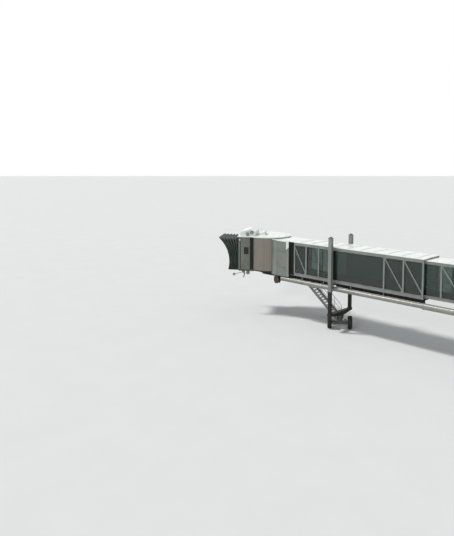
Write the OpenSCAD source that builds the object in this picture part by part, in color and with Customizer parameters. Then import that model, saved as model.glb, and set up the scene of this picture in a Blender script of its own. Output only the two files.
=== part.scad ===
// Telescoping glass-walled boarding bridge with a swinging cab, in millimetres.
// The origin is the centre of the rotunda's base plate on the ground, with +Z up.
// The tunnels run from the rotunda towards the aircraft along -X, and the near side is -Y.
// A distance d in a name or a comment is measured from the origin towards the aircraft.

/* [Tunnels] */
// Distance from the rotunda's centre to the outer tunnel's mouth
mouth_d = 12100; // [11500:50:12600]
// Length of the outer tunnel
outer_len = 12700; // [12300:50:13300]
// Length of the inner tunnel inside the outer one
overlap = 8500; // [7500:50:8700]
// Width over the outer tunnel's sides
outer_w = 2600; // [2500:10:2800]
// Gap between the sides of the two tunnels
side_gap = 100; // [80:5:120]
// Gap between the floors and the roofs of the two tunnels
run_gap = 70; // [50:5:90]
// Height of the outer tunnel's floor above the ground
floor_z = 4400; // [4300:10:4600]
// Height of the outer tunnel's glass
glass_h = 2580; // [2400:10:2700]
// Thickness of the glass
glass_t = 12; // [8:1:20]
// Thickness of the tunnel floors
deck_t = 60; // [40:5:80]
// Bay between the outer tunnel's posts
bay = 1700; // [1600:10:1800]
// Bay between the posts behind the lift columns
end_bay = 1400; // [1300:10:1400]

/* [Tunnel frames] */
// Height of the outer bottom rail
rail_h = 280; // [200:10:320]
// Height of the outer fascia under the roof
fascia_h = 250; // [200:10:300]
// Thickness of the outer rails across the wall
rail_t = 100; // [90:5:130]
// Height of the inner bottom rail
inner_rail_h = 230; // [200:10:260]
// Height of the inner fascia under the roof
inner_fascia_h = 220; // [180:10:260]
// Thickness of the inner rails across the wall
inner_rail_t = 90; // [80:5:110]
// Width of a post along the wall
post_w = 130; // [100:5:160]
// Depth of a post from its outer face to the glass
post_t = 75; // [60:5:85]
// Width of a diagonal brace
brace_w = 90; // [70:5:110]
// Depth of a diagonal brace
brace_t = 50; // [30:5:60]
// Thickness of the outer roof at its edges
roof_t = 40; // [30:5:60]
// Rise of the outer roof to its middle line
camber = 30; // [10:5:40]
// Height of the floor's joists
joist_h = 120; // [80:10:140]

/* [Rotunda] */
// Radius of the rotunda's curtains
rotunda_r = 1900; // [1880:5:1950]
// Overhang of the rotunda's roof past its curtains
roof_over = 400; // [300:10:500]
// Radius of the pedestal column
column_r = 450; // [350:10:550]
// Thickness of the pedestal column's wall
column_wall = 20; // [12:1:30]
// Radius of the base plate
base_r = 900; // [850:10:1100]
// Thickness of the base plate
base_t = 50; // [40:5:80]
// Radius of the circle of anchor holes
anchor_circle_r = 780; // [740:10:800]
// Radius of an anchor hole
anchor_hole_r = 24; // [15:1:30]
// Number of anchor holes
anchor_count = 12; // [8:2:16]
// Reach of the terminal portal past the rotunda's curtains
portal_reach = 500; // [400:10:800]
// Radius of the pins that the tunnels pitch on
pitch_pin_r = 40; // [30:1:50]

/* [Lift columns and bogie] */
// Distance from the outer tunnel's mouth to the lift columns
column_s = 8420; // [8300:10:8500]
// Distance of a lift column from the centre line
column_y = 1560; // [1540:5:1700]
// Length of a column housing's section along the tunnel
housing_l = 320; // [280:10:360]
// Width of a column housing's section across the tunnel
housing_w = 290; // [260:10:300]
// Thickness of a column housing's wall
housing_wall = 15; // [10:1:20]
// Height of the housings' bottom above the ground
housing_low = 3600; // [3400:20:3700]
// Length that a housing stands up above the tunnel's roof
housing_up = 830; // [600:10:900]
// Gap between a lift tube and its housing
tube_gap = 10; // [5:1:20]
// Height of the cross beam's underside
beam_low = 1250; // [1240:10:1350]
// Height of the cross beam
beam_h = 350; // [300:10:400]
// Radius of a wheel
wheel_r = 580; // [520:5:600]
// Width of a tyre
tyre_w = 380; // [300:10:400]
// Radius of a rim
rim_r = 330; // [280:5:360]
// Distance between the middles of the two wheels
track = 1800; // [1700:10:1840]
// Turn of the axle from the X axis at rest, in degrees
axle_turn = 36; // [0:1:54]

/* [Cab] */
// Distance from the outer tunnel's end to the cab's pivot
cab_after = 4300; // [4300:10:4500]
// Turn of the cab towards the near side at rest, in degrees
cab_turn = 35; // [20:1:45]
// Thickness of a curtain's slats
curtain_t = 30; // [16:1:40]
// Gap between the curtains and the round floors
floor_gap = 130; // [100:5:160]
// Distance of the side walls' rear edge ahead of the cab's pivot
cab_rear = 1250; // [1200:10:1300]
// Distance of the cab's side walls from its centre line
cab_half_w = 1650; // [1620:5:1700]
// Distance of the cab's front edge ahead of its pivot
cab_front = 2750; // [2650:10:2900]
// Depth of the cab's front frame
front_frame_l = 250; // [200:10:300]
// Width of the jambs beside the cab's front opening
front_jamb = 450; // [400:10:650]
// Height of the cab's front opening
front_open_h = 2500; // [2300:10:2600]
// Height of the cab's walls above its floor
cab_wall_h = 3200; // [3150:10:3300]
// Overhang of the cab's roof
cab_eave = 150; // [50:10:200]

/* [Canopy] */
// Radius of the fuselage that the canopy closes on
fuselage_r = 3000; // [2600:20:3200]
// Height of the fuselage's centre above the cab's floor
fuselage_up = 750; // [600:10:900]
// Distance from the cab's front edge to the canopy's face at mid-height
canopy_reach = 960; // [800:10:1100]
// Distance of the canopy's sides inside the cab's side walls
canopy_inset = 50; // [20:5:100]
// Thickness of the canopy's folds across
fold_t = 280; // [200:10:320]
// Thickness of the canopy's front pad
pad_t = 120; // [80:5:130]

/* [Service stair] */
// Distance from the outer tunnel's end to the head of the stair
stair_after = 2450; // [2400:10:2550]
// Distance of the stair's inner side from the centre line
stair_y = 1950; // [1930:10:2100]
// Width of the stair
stair_w = 900; // [700:10:1000]
// Number of risers
risers = 22; // [20:1:24]
// Going of a step
going = 243; // [220:1:250]
// Thickness of a stringer
stringer_t = 50; // [30:5:60]
// Thickness of a tread
tread_t = 40; // [30:5:50]
// Height of the handrails
handrail_h = 950; // [900:10:1100]
// Radius of the handrails
handrail_r = 21; // [16:1:25]

/* [Pipe] */
// Radius of the air pipe under the outer tunnel
pipe_r = 200; // [160:5:205]
// Thickness of the pipes' walls
pipe_wall = 5; // [3:1:8]
// Gap between the pipe and the sleeve that it slides in
pipe_gap = 40; // [20:1:45]
// Distance of the pipe's axis from the centre line
pipe_y = 1200; // [1180:5:1205]
// Depth of the pipe's axis below the floor
pipe_drop = 560; // [560:5:600]

/* [Hidden] */
// Flat faces of one body touch, and moving faces that rest on each other lie this far apart
seat = 0.3;
joint_gap = 35;
circle_fn = 240;
bar_fn = 8;

outer_end = mouth_d + outer_len;
inner_end = mouth_d + overlap;
column_d = mouth_d + column_s;
cab_d = outer_end + cab_after;
stair_d = outer_end + stair_after;
// Travel of the outer tunnel towards the terminal
retract = 3000;

// Half widths to the outer faces
outer_y = outer_w / 2;
inner_y = outer_y - rail_t - side_gap;

// Heights of the outer tunnel, from the bottom rail to the roof's top
rail_drop = 30;
rail_z = floor_z - rail_drop;
sill_z = rail_z + rail_h;
eave_z = sill_z + glass_h;
fascia_z = eave_z + fascia_h;
roof_z = fascia_z + roof_t;

// Heights of the inner tunnel
inner_roof_t = 30;
inner_rail_z = floor_z + run_gap;
inner_sill_z = inner_rail_z + inner_rail_h;
inner_top_z = fascia_z - run_gap - inner_roof_t;
inner_eave_z = inner_top_z - inner_fascia_h;
inner_joist_h = 60;
inner_floor_z = inner_rail_z + inner_joist_h + deck_t;

// The rotunda's floor lies a little over the inner tunnel's, under a threshold plate
threshold_gap = 10;
threshold_t = 12;
rotunda_z = inner_floor_z + threshold_gap;
rotunda_deck_t = 140;
rotunda_top = roof_z + 80;
wall_t = 60;
rotunda_floor_r = rotunda_r - curtain_t - floor_gap;
rotunda_roof_r = rotunda_r + roof_over;
portal_x = rotunda_r + portal_reach;
swing_reach = 350;
swing_face = rotunda_r + swing_reach;
inner_start = swing_face + 200;
pivot_d = swing_face + 100;
// The beams that carry the tunnels from the bearing, and the ears that hang on them
swing_beam_y = 750;
swing_beam_w = 300;
ear_y = 770;
ear_w = 160;
pivot_z = inner_rail_z - 70;
bearing_r = 620;
bearing_z = rotunda_z - 480;

// The neck and the closed box between the outer tunnel and the cab
neck_l = 630;
box_d = outer_end + neck_l;
box_low = floor_z - 300;
box_wall = 60;
door_d = box_d + 650;
door_w = 900;
door_h = 2050;

cab_top = floor_z + cab_wall_h;
cab_deck_t = 140;
cab_wall_t = 60;
curtain_r = norm([cab_rear, cab_half_w]);
cab_floor_r = curtain_r - curtain_t - floor_gap;
front_open = cab_half_w - front_jamb;
canopy_half_w = cab_half_w - canopy_inset;
canopy_drop = 80;
// The landing's rail ends over its plate, and clear of the curtains beside the cab's walls
rail_inset = 130;
rail_clear = 430;
rail_end_y = max(stair_y + rail_inset, cab_half_w + rail_clear);
turntable_r = 900;
turntable_h = 340;
cab_roof_t = 90;
window_a = 1780;
window_l = 420;
window_low = 1540;
window_h = 650;

// The outer tunnel's lengthways beams and cross joists
chassis_y = 900;
beam_y = 800;
under_w = 120;
under_h = 340;
joist_step = 1400;
joist_w = 90;
flange_t = 10;
gusset = 260;
gusset_t = 20;
channel_recess = 32;
channel_lip = 30;
ramp_l = 1800;
ramp_gap = 210;

riser_h = floor_z / risers;
stair_foot = stair_d - risers * going;
stair_wheel_r = 100;
stair_pin_r = 20;
stair_pin_d = stair_d - 60;
stair_pin_z = floor_z - 110;

hoist_z = floor_z - 740;
sleeve_r = pipe_r + pipe_gap + pipe_wall;
pipe_z = floor_z - pipe_drop;
pipe_tail = 5500;
pipe_past = 1500;
hanger_t = 50;
hanger_step = 1900;

axle_z = wheel_r;
hub_r = 90;
tube_l = housing_l - 2 * housing_wall - 2 * tube_gap;
tube_w = housing_w - 2 * housing_wall - 2 * tube_gap;

// A box between two distances d, two values of Y and two heights
module span(d0, d1, y0, y1, z0, z1) {
    translate([-d1, y0, z0]) cube([d1 - d0, y1 - y0, z1 - z0]);
}

// The children and their mirror image on the other side of the centre line
module both_sides() {
    children();
    mirror([0, 1, 0]) children();
}

// A straight bar between two points
module bar(p, q, r, sides = bar_fn) {
    v = q - p;
    len = norm(v);
    translate(p)
        rotate([0, acos(v[2] / len), atan2(v[1], v[0])])
            cylinder(h = len, r = r, $fn = sides);
}

// A plate that stands along the tunnel, from an outline in X and Z
module plate(outline, y0, t) {
    translate([0, y0 + t, 0])
        rotate([90, 0, 0])
            linear_extrude(t) polygon(outline);
}

// An upright curved wall about the vertical axis, between two angles
module arc_wall(r0, r1, a0, a1, z0, z1) {
    rotate([0, 0, a0])
        rotate_extrude(angle = a1 - a0, $fn = circle_fn)
            translate([r0, z0]) square([r1 - r0, z1 - z0]);
}

// A round plate on the vertical axis
module disc(r, z0, z1) {
    translate([0, 0, z0]) cylinder(h = z1 - z0, r = r, $fn = circle_fn);
}

// The cab's own axes: +X is ahead and +Y is the near side at rest
module cab_place() {
    translate([-cab_d, 0, 0]) rotate([0, 0, 180 + cab_turn]) children();
}

// The bogie's own axes: X lies along the axle
module bogie_place() {
    translate([-column_d, 0, 0]) rotate([0, 0, axle_turn]) children();
}

// A bar along the tunnel, from an outline in Y and Z
module run(outline, d0, d1) {
    translate([-d1, 0, 0])
        rotate([90, 0, 90])
            linear_extrude(d1 - d0) polygon(outline);
}

// Outline of a rail whose outer face is recessed between two lips
function channel(y, t, low, h, recess, lip) = [[-y, low], [-y + t, low], [-y + t, low + h],
    [-y, low + h], [-y, low + h - lip], [-y + recess, low + h - lip], [-y + recess, low + lip],
    [-y, low + lip]];

// Outline of an I beam about a middle line
function i_beam(mid, low, w, h, tf, tw) = [[mid - w / 2, low], [mid + w / 2, low],
    [mid + w / 2, low + tf], [mid + tw / 2, low + tf], [mid + tw / 2, low + h - tf],
    [mid + w / 2, low + h - tf], [mid + w / 2, low + h], [mid - w / 2, low + h],
    [mid - w / 2, low + h - tf], [mid - tw / 2, low + h - tf], [mid - tw / 2, low + tf],
    [mid - w / 2, low + tf]];

// A near side wall's frame: two rails, posts and braces in the listed bays
module side_frame(d0, d1, y, posts, braces, low, low_h, top, top_h, t) {
    lower = low + low_h;
    upper = top - top_h;
    run(channel(y, t, low, low_h, channel_recess, channel_lip), d0, d1);
    run(channel(y, t, upper, top_h, channel_recess / 2, channel_lip), d0, d1);
    for (p = posts) {
        from = max(d0, p - post_w / 2);
        to = min(d1, p + post_w / 2);
        span(from, to, -y, -y + post_t, lower, upper);
    }
    for (b = braces) {
        intersection() {
            span(min(b), max(b), -y, -y + post_t, lower, upper);
            brace(b[0], b[1], lower, upper, -y + post_t - brace_t);
        }
        // Gusset plates at the brace's foot and head
        ahead = sign(b[1] - b[0]) * gusset;
        plate([[-b[0], lower], [-b[0] - ahead, lower], [-b[0], lower + gusset]],
            -y + post_t - gusset_t - 10, gusset_t);
        plate([[-b[1], upper], [-b[1] + ahead, upper], [-b[1], upper - gusset]],
            -y + post_t - gusset_t - 10, gusset_t);
    }
}

// A brace from the foot at one distance to the head at another
module brace(foot, head, lower, upper, y0) {
    dx = foot - head;
    dz = upper - lower;
    len = norm([dx, dz]);
    translate([-foot, y0, lower])
        rotate([0, -atan2(dz, dx), 0])
            translate([-brace_w, 0, -brace_w / 2]) cube([len + 2 * brace_w, brace_t, brace_w]);
}

outer_posts = [mouth_d + post_w / 2, mouth_d + bay, mouth_d + 2 * bay,
    outer_end - 2 * end_bay, outer_end - end_bay, outer_end - post_w / 2];
outer_braces = [[mouth_d, mouth_d + bay], [mouth_d + bay, mouth_d + 2 * bay],
    [outer_end - end_bay, outer_end]];

inner_posts = concat([inner_start + post_w / 2, inner_end - post_w / 2],
    [for (i = [0:floor((mouth_d - 1300 - inner_start - post_w) / bay)]) mouth_d - 1300 - i * bay]);
inner_braces = [for (i = [0:floor((mouth_d - 1300 - inner_start) / bay) - 1])
    [mouth_d - 1300 - (i + 1) * bay, mouth_d - 1300 - i * bay]];

module outer_side() {
    side_frame(mouth_d, outer_end, outer_y, outer_posts, outer_braces,
        rail_z, rail_h, fascia_z, fascia_h, rail_t);
}

module inner_side() {
    side_frame(inner_start, inner_end, inner_y, inner_posts, inner_braces,
        inner_rail_z, inner_rail_h, inner_top_z, inner_fascia_h, inner_rail_t);
}

// The rotunda and its pedestal

module pedestal_column() {
    color("dimgray") {
        difference() {
            disc(base_r, 0, base_t);
            for (i = [0:anchor_count - 1])
                rotate([0, 0, i * 360 / anchor_count])
                    translate([anchor_circle_r, 0, -1])
                        cylinder(h = base_t + 2, r = anchor_hole_r, $fn = 32);
        }
        difference() {
            union() {
                disc(column_r, base_t, rotunda_z - rotunda_deck_t);
                disc(bearing_r, bearing_z - 60, bearing_z - seat);
                disc(bearing_r, rotunda_z - rotunda_deck_t - 40, rotunda_z - rotunda_deck_t);
            }
            disc(column_r - column_wall, base_t + 1, rotunda_z - rotunda_deck_t - 60);
        }
        for (a = [0:45:315])
            rotate([0, 0, a + 22.5]) {
                plate([[column_r - 5, base_t], [base_r - 200, base_t], [base_r - 200, base_t + 40],
                    [column_r - 5, base_t + 500]], -10, 20);
                plate([[column_r - 5, bearing_z - 60], [bearing_r - 20, bearing_z - 60],
                    [bearing_r - 20, bearing_z - 90], [column_r - 5, bearing_z - 360]], -10, 20);
            }
    }
}

module rotunda_floor() {
    color("slategray") {
        disc(rotunda_floor_r, rotunda_z - rotunda_deck_t, rotunda_z);
        difference() {
            span(-portal_x, 0, -outer_y + wall_t, outer_y - wall_t, rotunda_z - rotunda_deck_t, rotunda_z);
            disc(rotunda_floor_r - 5, 0, rotunda_z + 1);
        }
    }
}

module rotunda_roof() {
    color("whitesmoke") {
        // A low cone with an upstand round its edge
        rotate_extrude($fn = circle_fn)
            polygon([[0, rotunda_top], [rotunda_roof_r, rotunda_top], [rotunda_roof_r, rotunda_top + 75],
                [rotunda_roof_r - 30, rotunda_top + 75], [rotunda_roof_r - 30, rotunda_top + roof_t],
                [0, rotunda_top + roof_t + 90]]);
        difference() {
            disc(rotunda_floor_r, rotunda_top - 60, rotunda_top);
            disc(rotunda_floor_r - 40, 0, rotunda_top + 1);
        }
        span(-portal_x, -rotunda_roof_r + 200, -outer_y, outer_y, rotunda_top, rotunda_top + roof_t);
    }
}

module terminal_portal() {
    color("gainsboro") {
        both_sides()
            difference() {
                span(-portal_x, 0, -outer_y, -outer_y + wall_t, rotunda_z - rotunda_deck_t, rotunda_top);
                disc(rotunda_r - curtain_t, 0, rotunda_top + 1);
            }
        difference() {
            span(-portal_x, -portal_x + 120, -outer_y + wall_t, outer_y - wall_t, rotunda_z, rotunda_top);
            span(-portal_x - 1, 0, -outer_y + 3 * wall_t, outer_y - 3 * wall_t, rotunda_z - 1,
                rotunda_z + 2400);
        }
    }
}

module rotunda_curtains() {
    edge = asin(outer_y / (rotunda_r - curtain_t)) + 0.02;
    color("#968c7d")
        both_sides()
            arc_wall(rotunda_r - curtain_t, rotunda_r, edge, 180 - edge, rotunda_z, rotunda_top - 40);
}

module swing_frame() {
    color("gray") {
        // Return walls and a portal that the tunnels hang on
        both_sides()
            difference() {
                span(0, swing_face, -outer_y, -outer_y + wall_t, rotunda_z - rotunda_deck_t, rotunda_top - 40);
                disc(rotunda_r - curtain_t, 0, rotunda_top + 1);
            }
        difference() {
            span(swing_face - 200, swing_face, -outer_y + wall_t, outer_y - wall_t,
                rotunda_z, rotunda_top - 40);
            span(0, swing_face + 1, -outer_y + 4 * wall_t, outer_y - 4 * wall_t, rotunda_z - 1,
                inner_eave_z);
        }
        // Sill, threshold plate and the ring that turns on the pedestal
        difference() {
            span(0, swing_face, -outer_y + wall_t, outer_y - wall_t, rotunda_z - rotunda_deck_t, rotunda_z);
            disc(rotunda_floor_r + joint_gap, 0, rotunda_z + 1);
        }
        span(swing_face - 30, inner_start + 30, -inner_y + 2 * inner_rail_t, inner_y - 2 * inner_rail_t,
            rotunda_z, rotunda_z + threshold_t);
        difference() {
            union() {
                disc(bearing_r + 100, bearing_z, rotunda_z - rotunda_deck_t - 50);
                both_sides()
                    span(0, swing_face, -swing_beam_y - swing_beam_w / 2, -swing_beam_y + swing_beam_w / 2,
                        bearing_z + 40, rotunda_z - rotunda_deck_t - 50);
            }
            disc(column_r + 15, 0, rotunda_z);
        }
        both_sides()
            span(swing_face - 200, swing_face, -swing_beam_y - swing_beam_w / 2,
                -swing_beam_y + swing_beam_w / 2, bearing_z + 40, rotunda_z - rotunda_deck_t);
        // Lugs and pins that the inner tunnel pitches on
        both_sides() {
            for (y = [-ear_y - ear_w / 2 - 50, -ear_y + ear_w / 2 + 10])
                plate([[-swing_face + 1, bearing_z + 40], [-swing_face + 1, pivot_z + 90],
                    [-pivot_d - 40, pivot_z + 60], [-pivot_d - 80, pivot_z],
                    [-pivot_d - 40, pivot_z - 60]], y, 40);
            translate([-pivot_d, -ear_y - ear_w / 2 - 50, pivot_z])
                rotate([-90, 0, 0]) cylinder(h = ear_w + 100, r = pitch_pin_r, $fn = 48);
        }
    }
}

module tunnel_seal() {
    color("#323c37")
        difference() {
            span(swing_face + seat, inner_start, -inner_y, inner_y, rotunda_z + threshold_t + 10, inner_top_z);
            span(swing_face, inner_start + 1, -inner_y + inner_rail_t, inner_y - inner_rail_t,
                inner_floor_z, inner_eave_z);
        }
}

// The inner tunnel

module inner_floor() {
    color("dimgray") {
        span(inner_start, inner_end, -inner_y + inner_rail_t, inner_y - inner_rail_t,
            inner_floor_z - deck_t, inner_floor_z);
        joists = floor((inner_end - inner_start - 200) / 1000);
        step = (inner_end - inner_start - 200) / joists;
        for (i = [0:joists]) {
            d = inner_start + 60 + i * step;
            span(d, d + 80, -inner_y + inner_rail_t, inner_y - inner_rail_t, inner_rail_z,
                inner_floor_z - deck_t);
        }
        // Ears on the pitch pins
        both_sides()
            difference() {
                plate([[-inner_start - 300, inner_rail_z], [-inner_start, inner_rail_z],
                    [-pivot_d + 70, pivot_z + 40], [-pivot_d + 70, pivot_z - 40],
                    [-pivot_d, pivot_z - 80], [-pivot_d - 90, pivot_z - 40],
                    [-inner_start - 300, inner_rail_z - 60]], -ear_y - ear_w / 2, ear_w);
                translate([-pivot_d, -ear_y - ear_w, pivot_z])
                    rotate([-90, 0, 0]) cylinder(h = 2 * ear_w, r = pitch_pin_r + seat, $fn = 48);
            }
        // Ramp down to the outer tunnel's floor
        plate([[-inner_end, inner_floor_z], [-inner_end - ramp_l, floor_z + 20],
            [-inner_end - ramp_l, floor_z + 8], [-inner_end, floor_z + 80]],
            -inner_y + inner_rail_t + ramp_gap, 2 * (inner_y - inner_rail_t - ramp_gap));
    }
}

module inner_roof() {
    color("whitesmoke")
        run([[-inner_y, inner_top_z], [inner_y, inner_top_z], [inner_y, inner_top_z + inner_roof_t - 12],
            [0, inner_top_z + inner_roof_t], [-inner_y, inner_top_z + inner_roof_t - 12]],
            inner_start, inner_end);
}

module inner_near_side() {
    color("darkgray") inner_side();
}

module inner_far_side() {
    color("darkgray") mirror([0, 1, 0]) inner_side();
}

module inner_glass() {
    color("darkslategray", 0.6)
        both_sides()
            span(inner_start, inner_end, -inner_y + post_t, -inner_y + post_t + glass_t,
                inner_sill_z, inner_eave_z);
}

module inner_pipe() {
    color("#c8c8be") {
        difference() {
            translate([-mouth_d, -pipe_y, pipe_z]) rotate([0, 90, 0])
                cylinder(h = mouth_d - inner_start - 400, r = sleeve_r, $fn = 48);
            translate([-mouth_d - 1, -pipe_y, pipe_z]) rotate([0, 90, 0])
                cylinder(h = mouth_d - inner_start - 390, r = sleeve_r - pipe_wall, $fn = 48);
        }
        difference() {
            translate([-mouth_d, -pipe_y, pipe_z]) rotate([0, 90, 0])
                cylinder(h = 90, r = sleeve_r + 20, $fn = 48);
            translate([-mouth_d - 1, -pipe_y, pipe_z]) rotate([0, 90, 0])
                cylinder(h = 92, r = sleeve_r - 1, $fn = 48);
        }
        // Hangers to the inner tunnel's rail, clear of the retracted outer tunnel
        first = inner_start + 600;
        last = mouth_d - retract - 650;
        for (f = [0:1 / 2:1]) {
            d = first + (last - first) * f;
            difference() {
                span(d, d + hanger_t, -pipe_y - 20, -inner_y + inner_rail_t, pipe_z, inner_rail_z);
                translate([-d - hanger_t - 1, -pipe_y, pipe_z]) rotate([0, 90, 0])
                    cylinder(h = hanger_t + 2, r = sleeve_r - 1, $fn = 48);
            }
            // Clamp ring
            difference() {
                translate([-d - hanger_t, -pipe_y, pipe_z]) rotate([0, 90, 0])
                    cylinder(h = hanger_t, r = sleeve_r + 12, $fn = 48);
                translate([-d - hanger_t - 1, -pipe_y, pipe_z]) rotate([0, 90, 0])
                    cylinder(h = hanger_t + 2, r = sleeve_r - 1, $fn = 48);
            }
        }
    }
}

// The outer tunnel

module outer_floor() {
    color("dimgray") {
        span(mouth_d, box_d, -outer_y + rail_t, outer_y - rail_t, floor_z - deck_t, floor_z);
        difference() {
            span(box_d, cab_d, -outer_y + box_wall, outer_y - box_wall, floor_z - deck_t, floor_z);
            translate([-cab_d, 0, 0]) disc(cab_floor_r + joint_gap, 0, floor_z + 1);
        }
        // Rollers' blocks under the inner tunnel's rails
        both_sides()
            for (d = [mouth_d + 150, mouth_d + 650]) {
                translate([-d, -inner_y + 10, floor_z + run_gap / 2 - seat / 2])
                    rotate([-90, 0, 0]) cylinder(h = inner_rail_t - 20, r = run_gap / 2 - seat / 2, $fn = 32);
            }
    }
}

module outer_underframe() {
    top = floor_z - deck_t;
    behind = column_d - housing_l / 2;
    ahead = column_d + housing_l / 2;
    color("#2a2a28") {
        both_sides() {
            run(i_beam(-chassis_y, top - under_h, under_w, under_h, flange_t, flange_t), mouth_d, behind);
            run(i_beam(-chassis_y, top - under_h, under_w, under_h, flange_t, flange_t), ahead, box_d);
        }
        for (d = concat([for (d = mouth_d + joist_w; d < behind - joist_w; d = d + joist_step) d],
            [for (d = ahead + joist_w; d < outer_end - joist_w; d = d + joist_step) d]))
            plate(i_beam(-d, top - joist_h, joist_w, joist_h, flange_t, flange_t), -outer_y + rail_t,
                2 * (outer_y - rail_t));
    }
}

// Outline of a cambered roof with an upstand along each edge
function roof_shape(y, low) = [[-y, low], [y, low], [y, low + roof_t + 30], [y - 25, low + roof_t + 30],
    [y - 25, low + roof_t], [0, low + roof_t + camber], [-y + 25, low + roof_t],
    [-y + 25, low + roof_t + 30], [-y, low + roof_t + 30]];

module outer_roof() {
    color("whitesmoke") run(roof_shape(outer_y, fascia_z), mouth_d, outer_end);
}

module outer_near_side() {
    color("darkgray") outer_side();
}

module outer_far_side() {
    color("darkgray") mirror([0, 1, 0]) outer_side();
}

module outer_glass() {
    color("darkslategray", 0.6)
        both_sides()
            span(mouth_d, outer_end, -outer_y + post_t, -outer_y + post_t + glass_t, sill_z, eave_z);
    // Pane of the service door
    color("darkslategray", 0.6)
        span(door_d + door_w / 2 - 150, door_d + door_w / 2 + 150, outer_y - box_wall / 2 - glass_t / 2,
            outer_y - box_wall / 2 + glass_t / 2, floor_z + 1200, floor_z + 1800);
}

module outer_pipe() {
    tail = mouth_d - pipe_tail;
    head = outer_end + pipe_past;
    color("#c8c8be") {
        difference() {
            translate([-head, -pipe_y, pipe_z]) rotate([0, 90, 0])
                cylinder(h = head - tail, r = pipe_r, $fn = 48);
            translate([-head - 1, -pipe_y, pipe_z]) rotate([0, 90, 0])
                cylinder(h = head - tail + 2, r = pipe_r - pipe_wall, $fn = 48);
        }
        // Hangers to the outer tunnel's rail, clear of the sleeve when the tunnels close
        for (d = [mouth_d + retract + 400, column_d - hanger_step, column_d + hanger_step / 2,
            outer_end - hanger_step / 2]) {
            difference() {
                span(d, d + hanger_t, -pipe_y - 30, -outer_y + rail_t, pipe_z, rail_z);
                translate([-d - hanger_t - 1, -pipe_y, pipe_z]) rotate([0, 90, 0])
                    cylinder(h = hanger_t + 2, r = pipe_r - 1, $fn = 48);
            }
            // Clamp ring
            difference() {
                translate([-d - hanger_t, -pipe_y, pipe_z]) rotate([0, 90, 0])
                    cylinder(h = hanger_t, r = pipe_r + 12, $fn = 48);
                translate([-d - hanger_t - 1, -pipe_y, pipe_z]) rotate([0, 90, 0])
                    cylinder(h = hanger_t + 2, r = pipe_r - 1, $fn = 48);
            }
        }
    }
}

module tunnel_end_frame() {
    color("#2a2a28") {
        both_sides() {
            span(outer_end, box_d, -outer_y + rail_t, -outer_y + 2 * rail_t, floor_z, fascia_z);
            span(outer_end, box_d, -outer_y + rail_t, -outer_y + 2 * rail_t, box_low + 30,
                floor_z - deck_t);
        }
        span(outer_end, box_d, -outer_y + 2 * rail_t, outer_y - 2 * rail_t, eave_z, fascia_z);
    }
}

module lift_housings() {
    color("darkgray") {
        both_sides() {
            difference() {
                span(column_d - housing_l / 2, column_d + housing_l / 2, -column_y - housing_w / 2,
                    -column_y + housing_w / 2, housing_low, roof_z + housing_up);
                span(column_d - tube_l / 2 - tube_gap, column_d + tube_l / 2 + tube_gap,
                    -column_y - tube_w / 2 - tube_gap, -column_y + tube_w / 2 + tube_gap,
                    housing_low + 150, roof_z + housing_up - 30);
                span(column_d - tube_l / 2 - seat, column_d + tube_l / 2 + seat,
                    -column_y - tube_w / 2 - seat, -column_y + tube_w / 2 + seat,
                    housing_low - 1, housing_low + 151);
            }
            // Cap plate and foot flange
            span(column_d - housing_l / 2 - 25, column_d + housing_l / 2 + 25, -column_y - housing_w / 2 - 25,
                -column_y + housing_w / 2 + 25, roof_z + housing_up, roof_z + housing_up + 20);
            difference() {
                span(column_d - housing_l / 2 - 40, column_d + housing_l / 2 + 40,
                    -column_y - housing_w / 2 - 40, -column_y + housing_w / 2 + 40,
                    housing_low, housing_low + 25);
                span(column_d - tube_l / 2 - seat, column_d + tube_l / 2 + seat,
                    -column_y - tube_w / 2 - seat, -column_y + tube_w / 2 + seat,
                    housing_low - 1, housing_low + 151);
            }
            // Screw drive's gear case on the cap
            translate([-column_d, -column_y, roof_z + housing_up + 20])
                cylinder(h = 90, r = 105, $fn = 48);
            // Gusset plates under the rail bracket
            for (d = [column_d - 240, column_d + 220])
                run([[-column_y + housing_w / 2, rail_z], [-outer_y, rail_z],
                    [-column_y + housing_w / 2, rail_z - 300]], d, d + gusset_t);
            // Brackets to the tunnel's rail and fascia
            span(column_d - 260, column_d + 260, -column_y + housing_w / 2, -outer_y, rail_z, sill_z);
            span(column_d - 260, column_d + 260, -column_y + housing_w / 2, -outer_y, eave_z, fascia_z);
        }
        span(column_d - housing_l / 2, column_d + housing_l / 2, -column_y + housing_w / 2,
            column_y - housing_w / 2, floor_z - deck_t - 220, floor_z - deck_t);
    }
}

// The closed box between the outer tunnel and the cab

module transition_walls() {
    color("#828c82")
        difference() {
            both_sides()
                span(box_d, cab_d, -outer_y, -outer_y + box_wall, box_low, fascia_z);
            translate([-cab_d, 0, 0]) disc(curtain_r - curtain_t, 0, roof_z + 1);
            span(door_d, door_d + door_w, outer_y - box_wall - 1, outer_y + 1, floor_z, floor_z + door_h);
        }
}

module transition_roof() {
    color("whitesmoke")
        difference() {
            run(roof_shape(outer_y, fascia_z), outer_end, cab_d);
            translate([-cab_d, 0, 0]) disc(cab_floor_r + joint_gap, 0, roof_z + 100);
        }
}

module service_door() {
    color("#828c82")
        difference() {
            span(door_d, door_d + door_w, outer_y - box_wall + 10, outer_y - 10, floor_z, floor_z + door_h);
            span(door_d + door_w / 2 - 150, door_d + door_w / 2 + 150, outer_y - box_wall, outer_y,
                floor_z + 1200, floor_z + 1800);
        }
}

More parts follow.
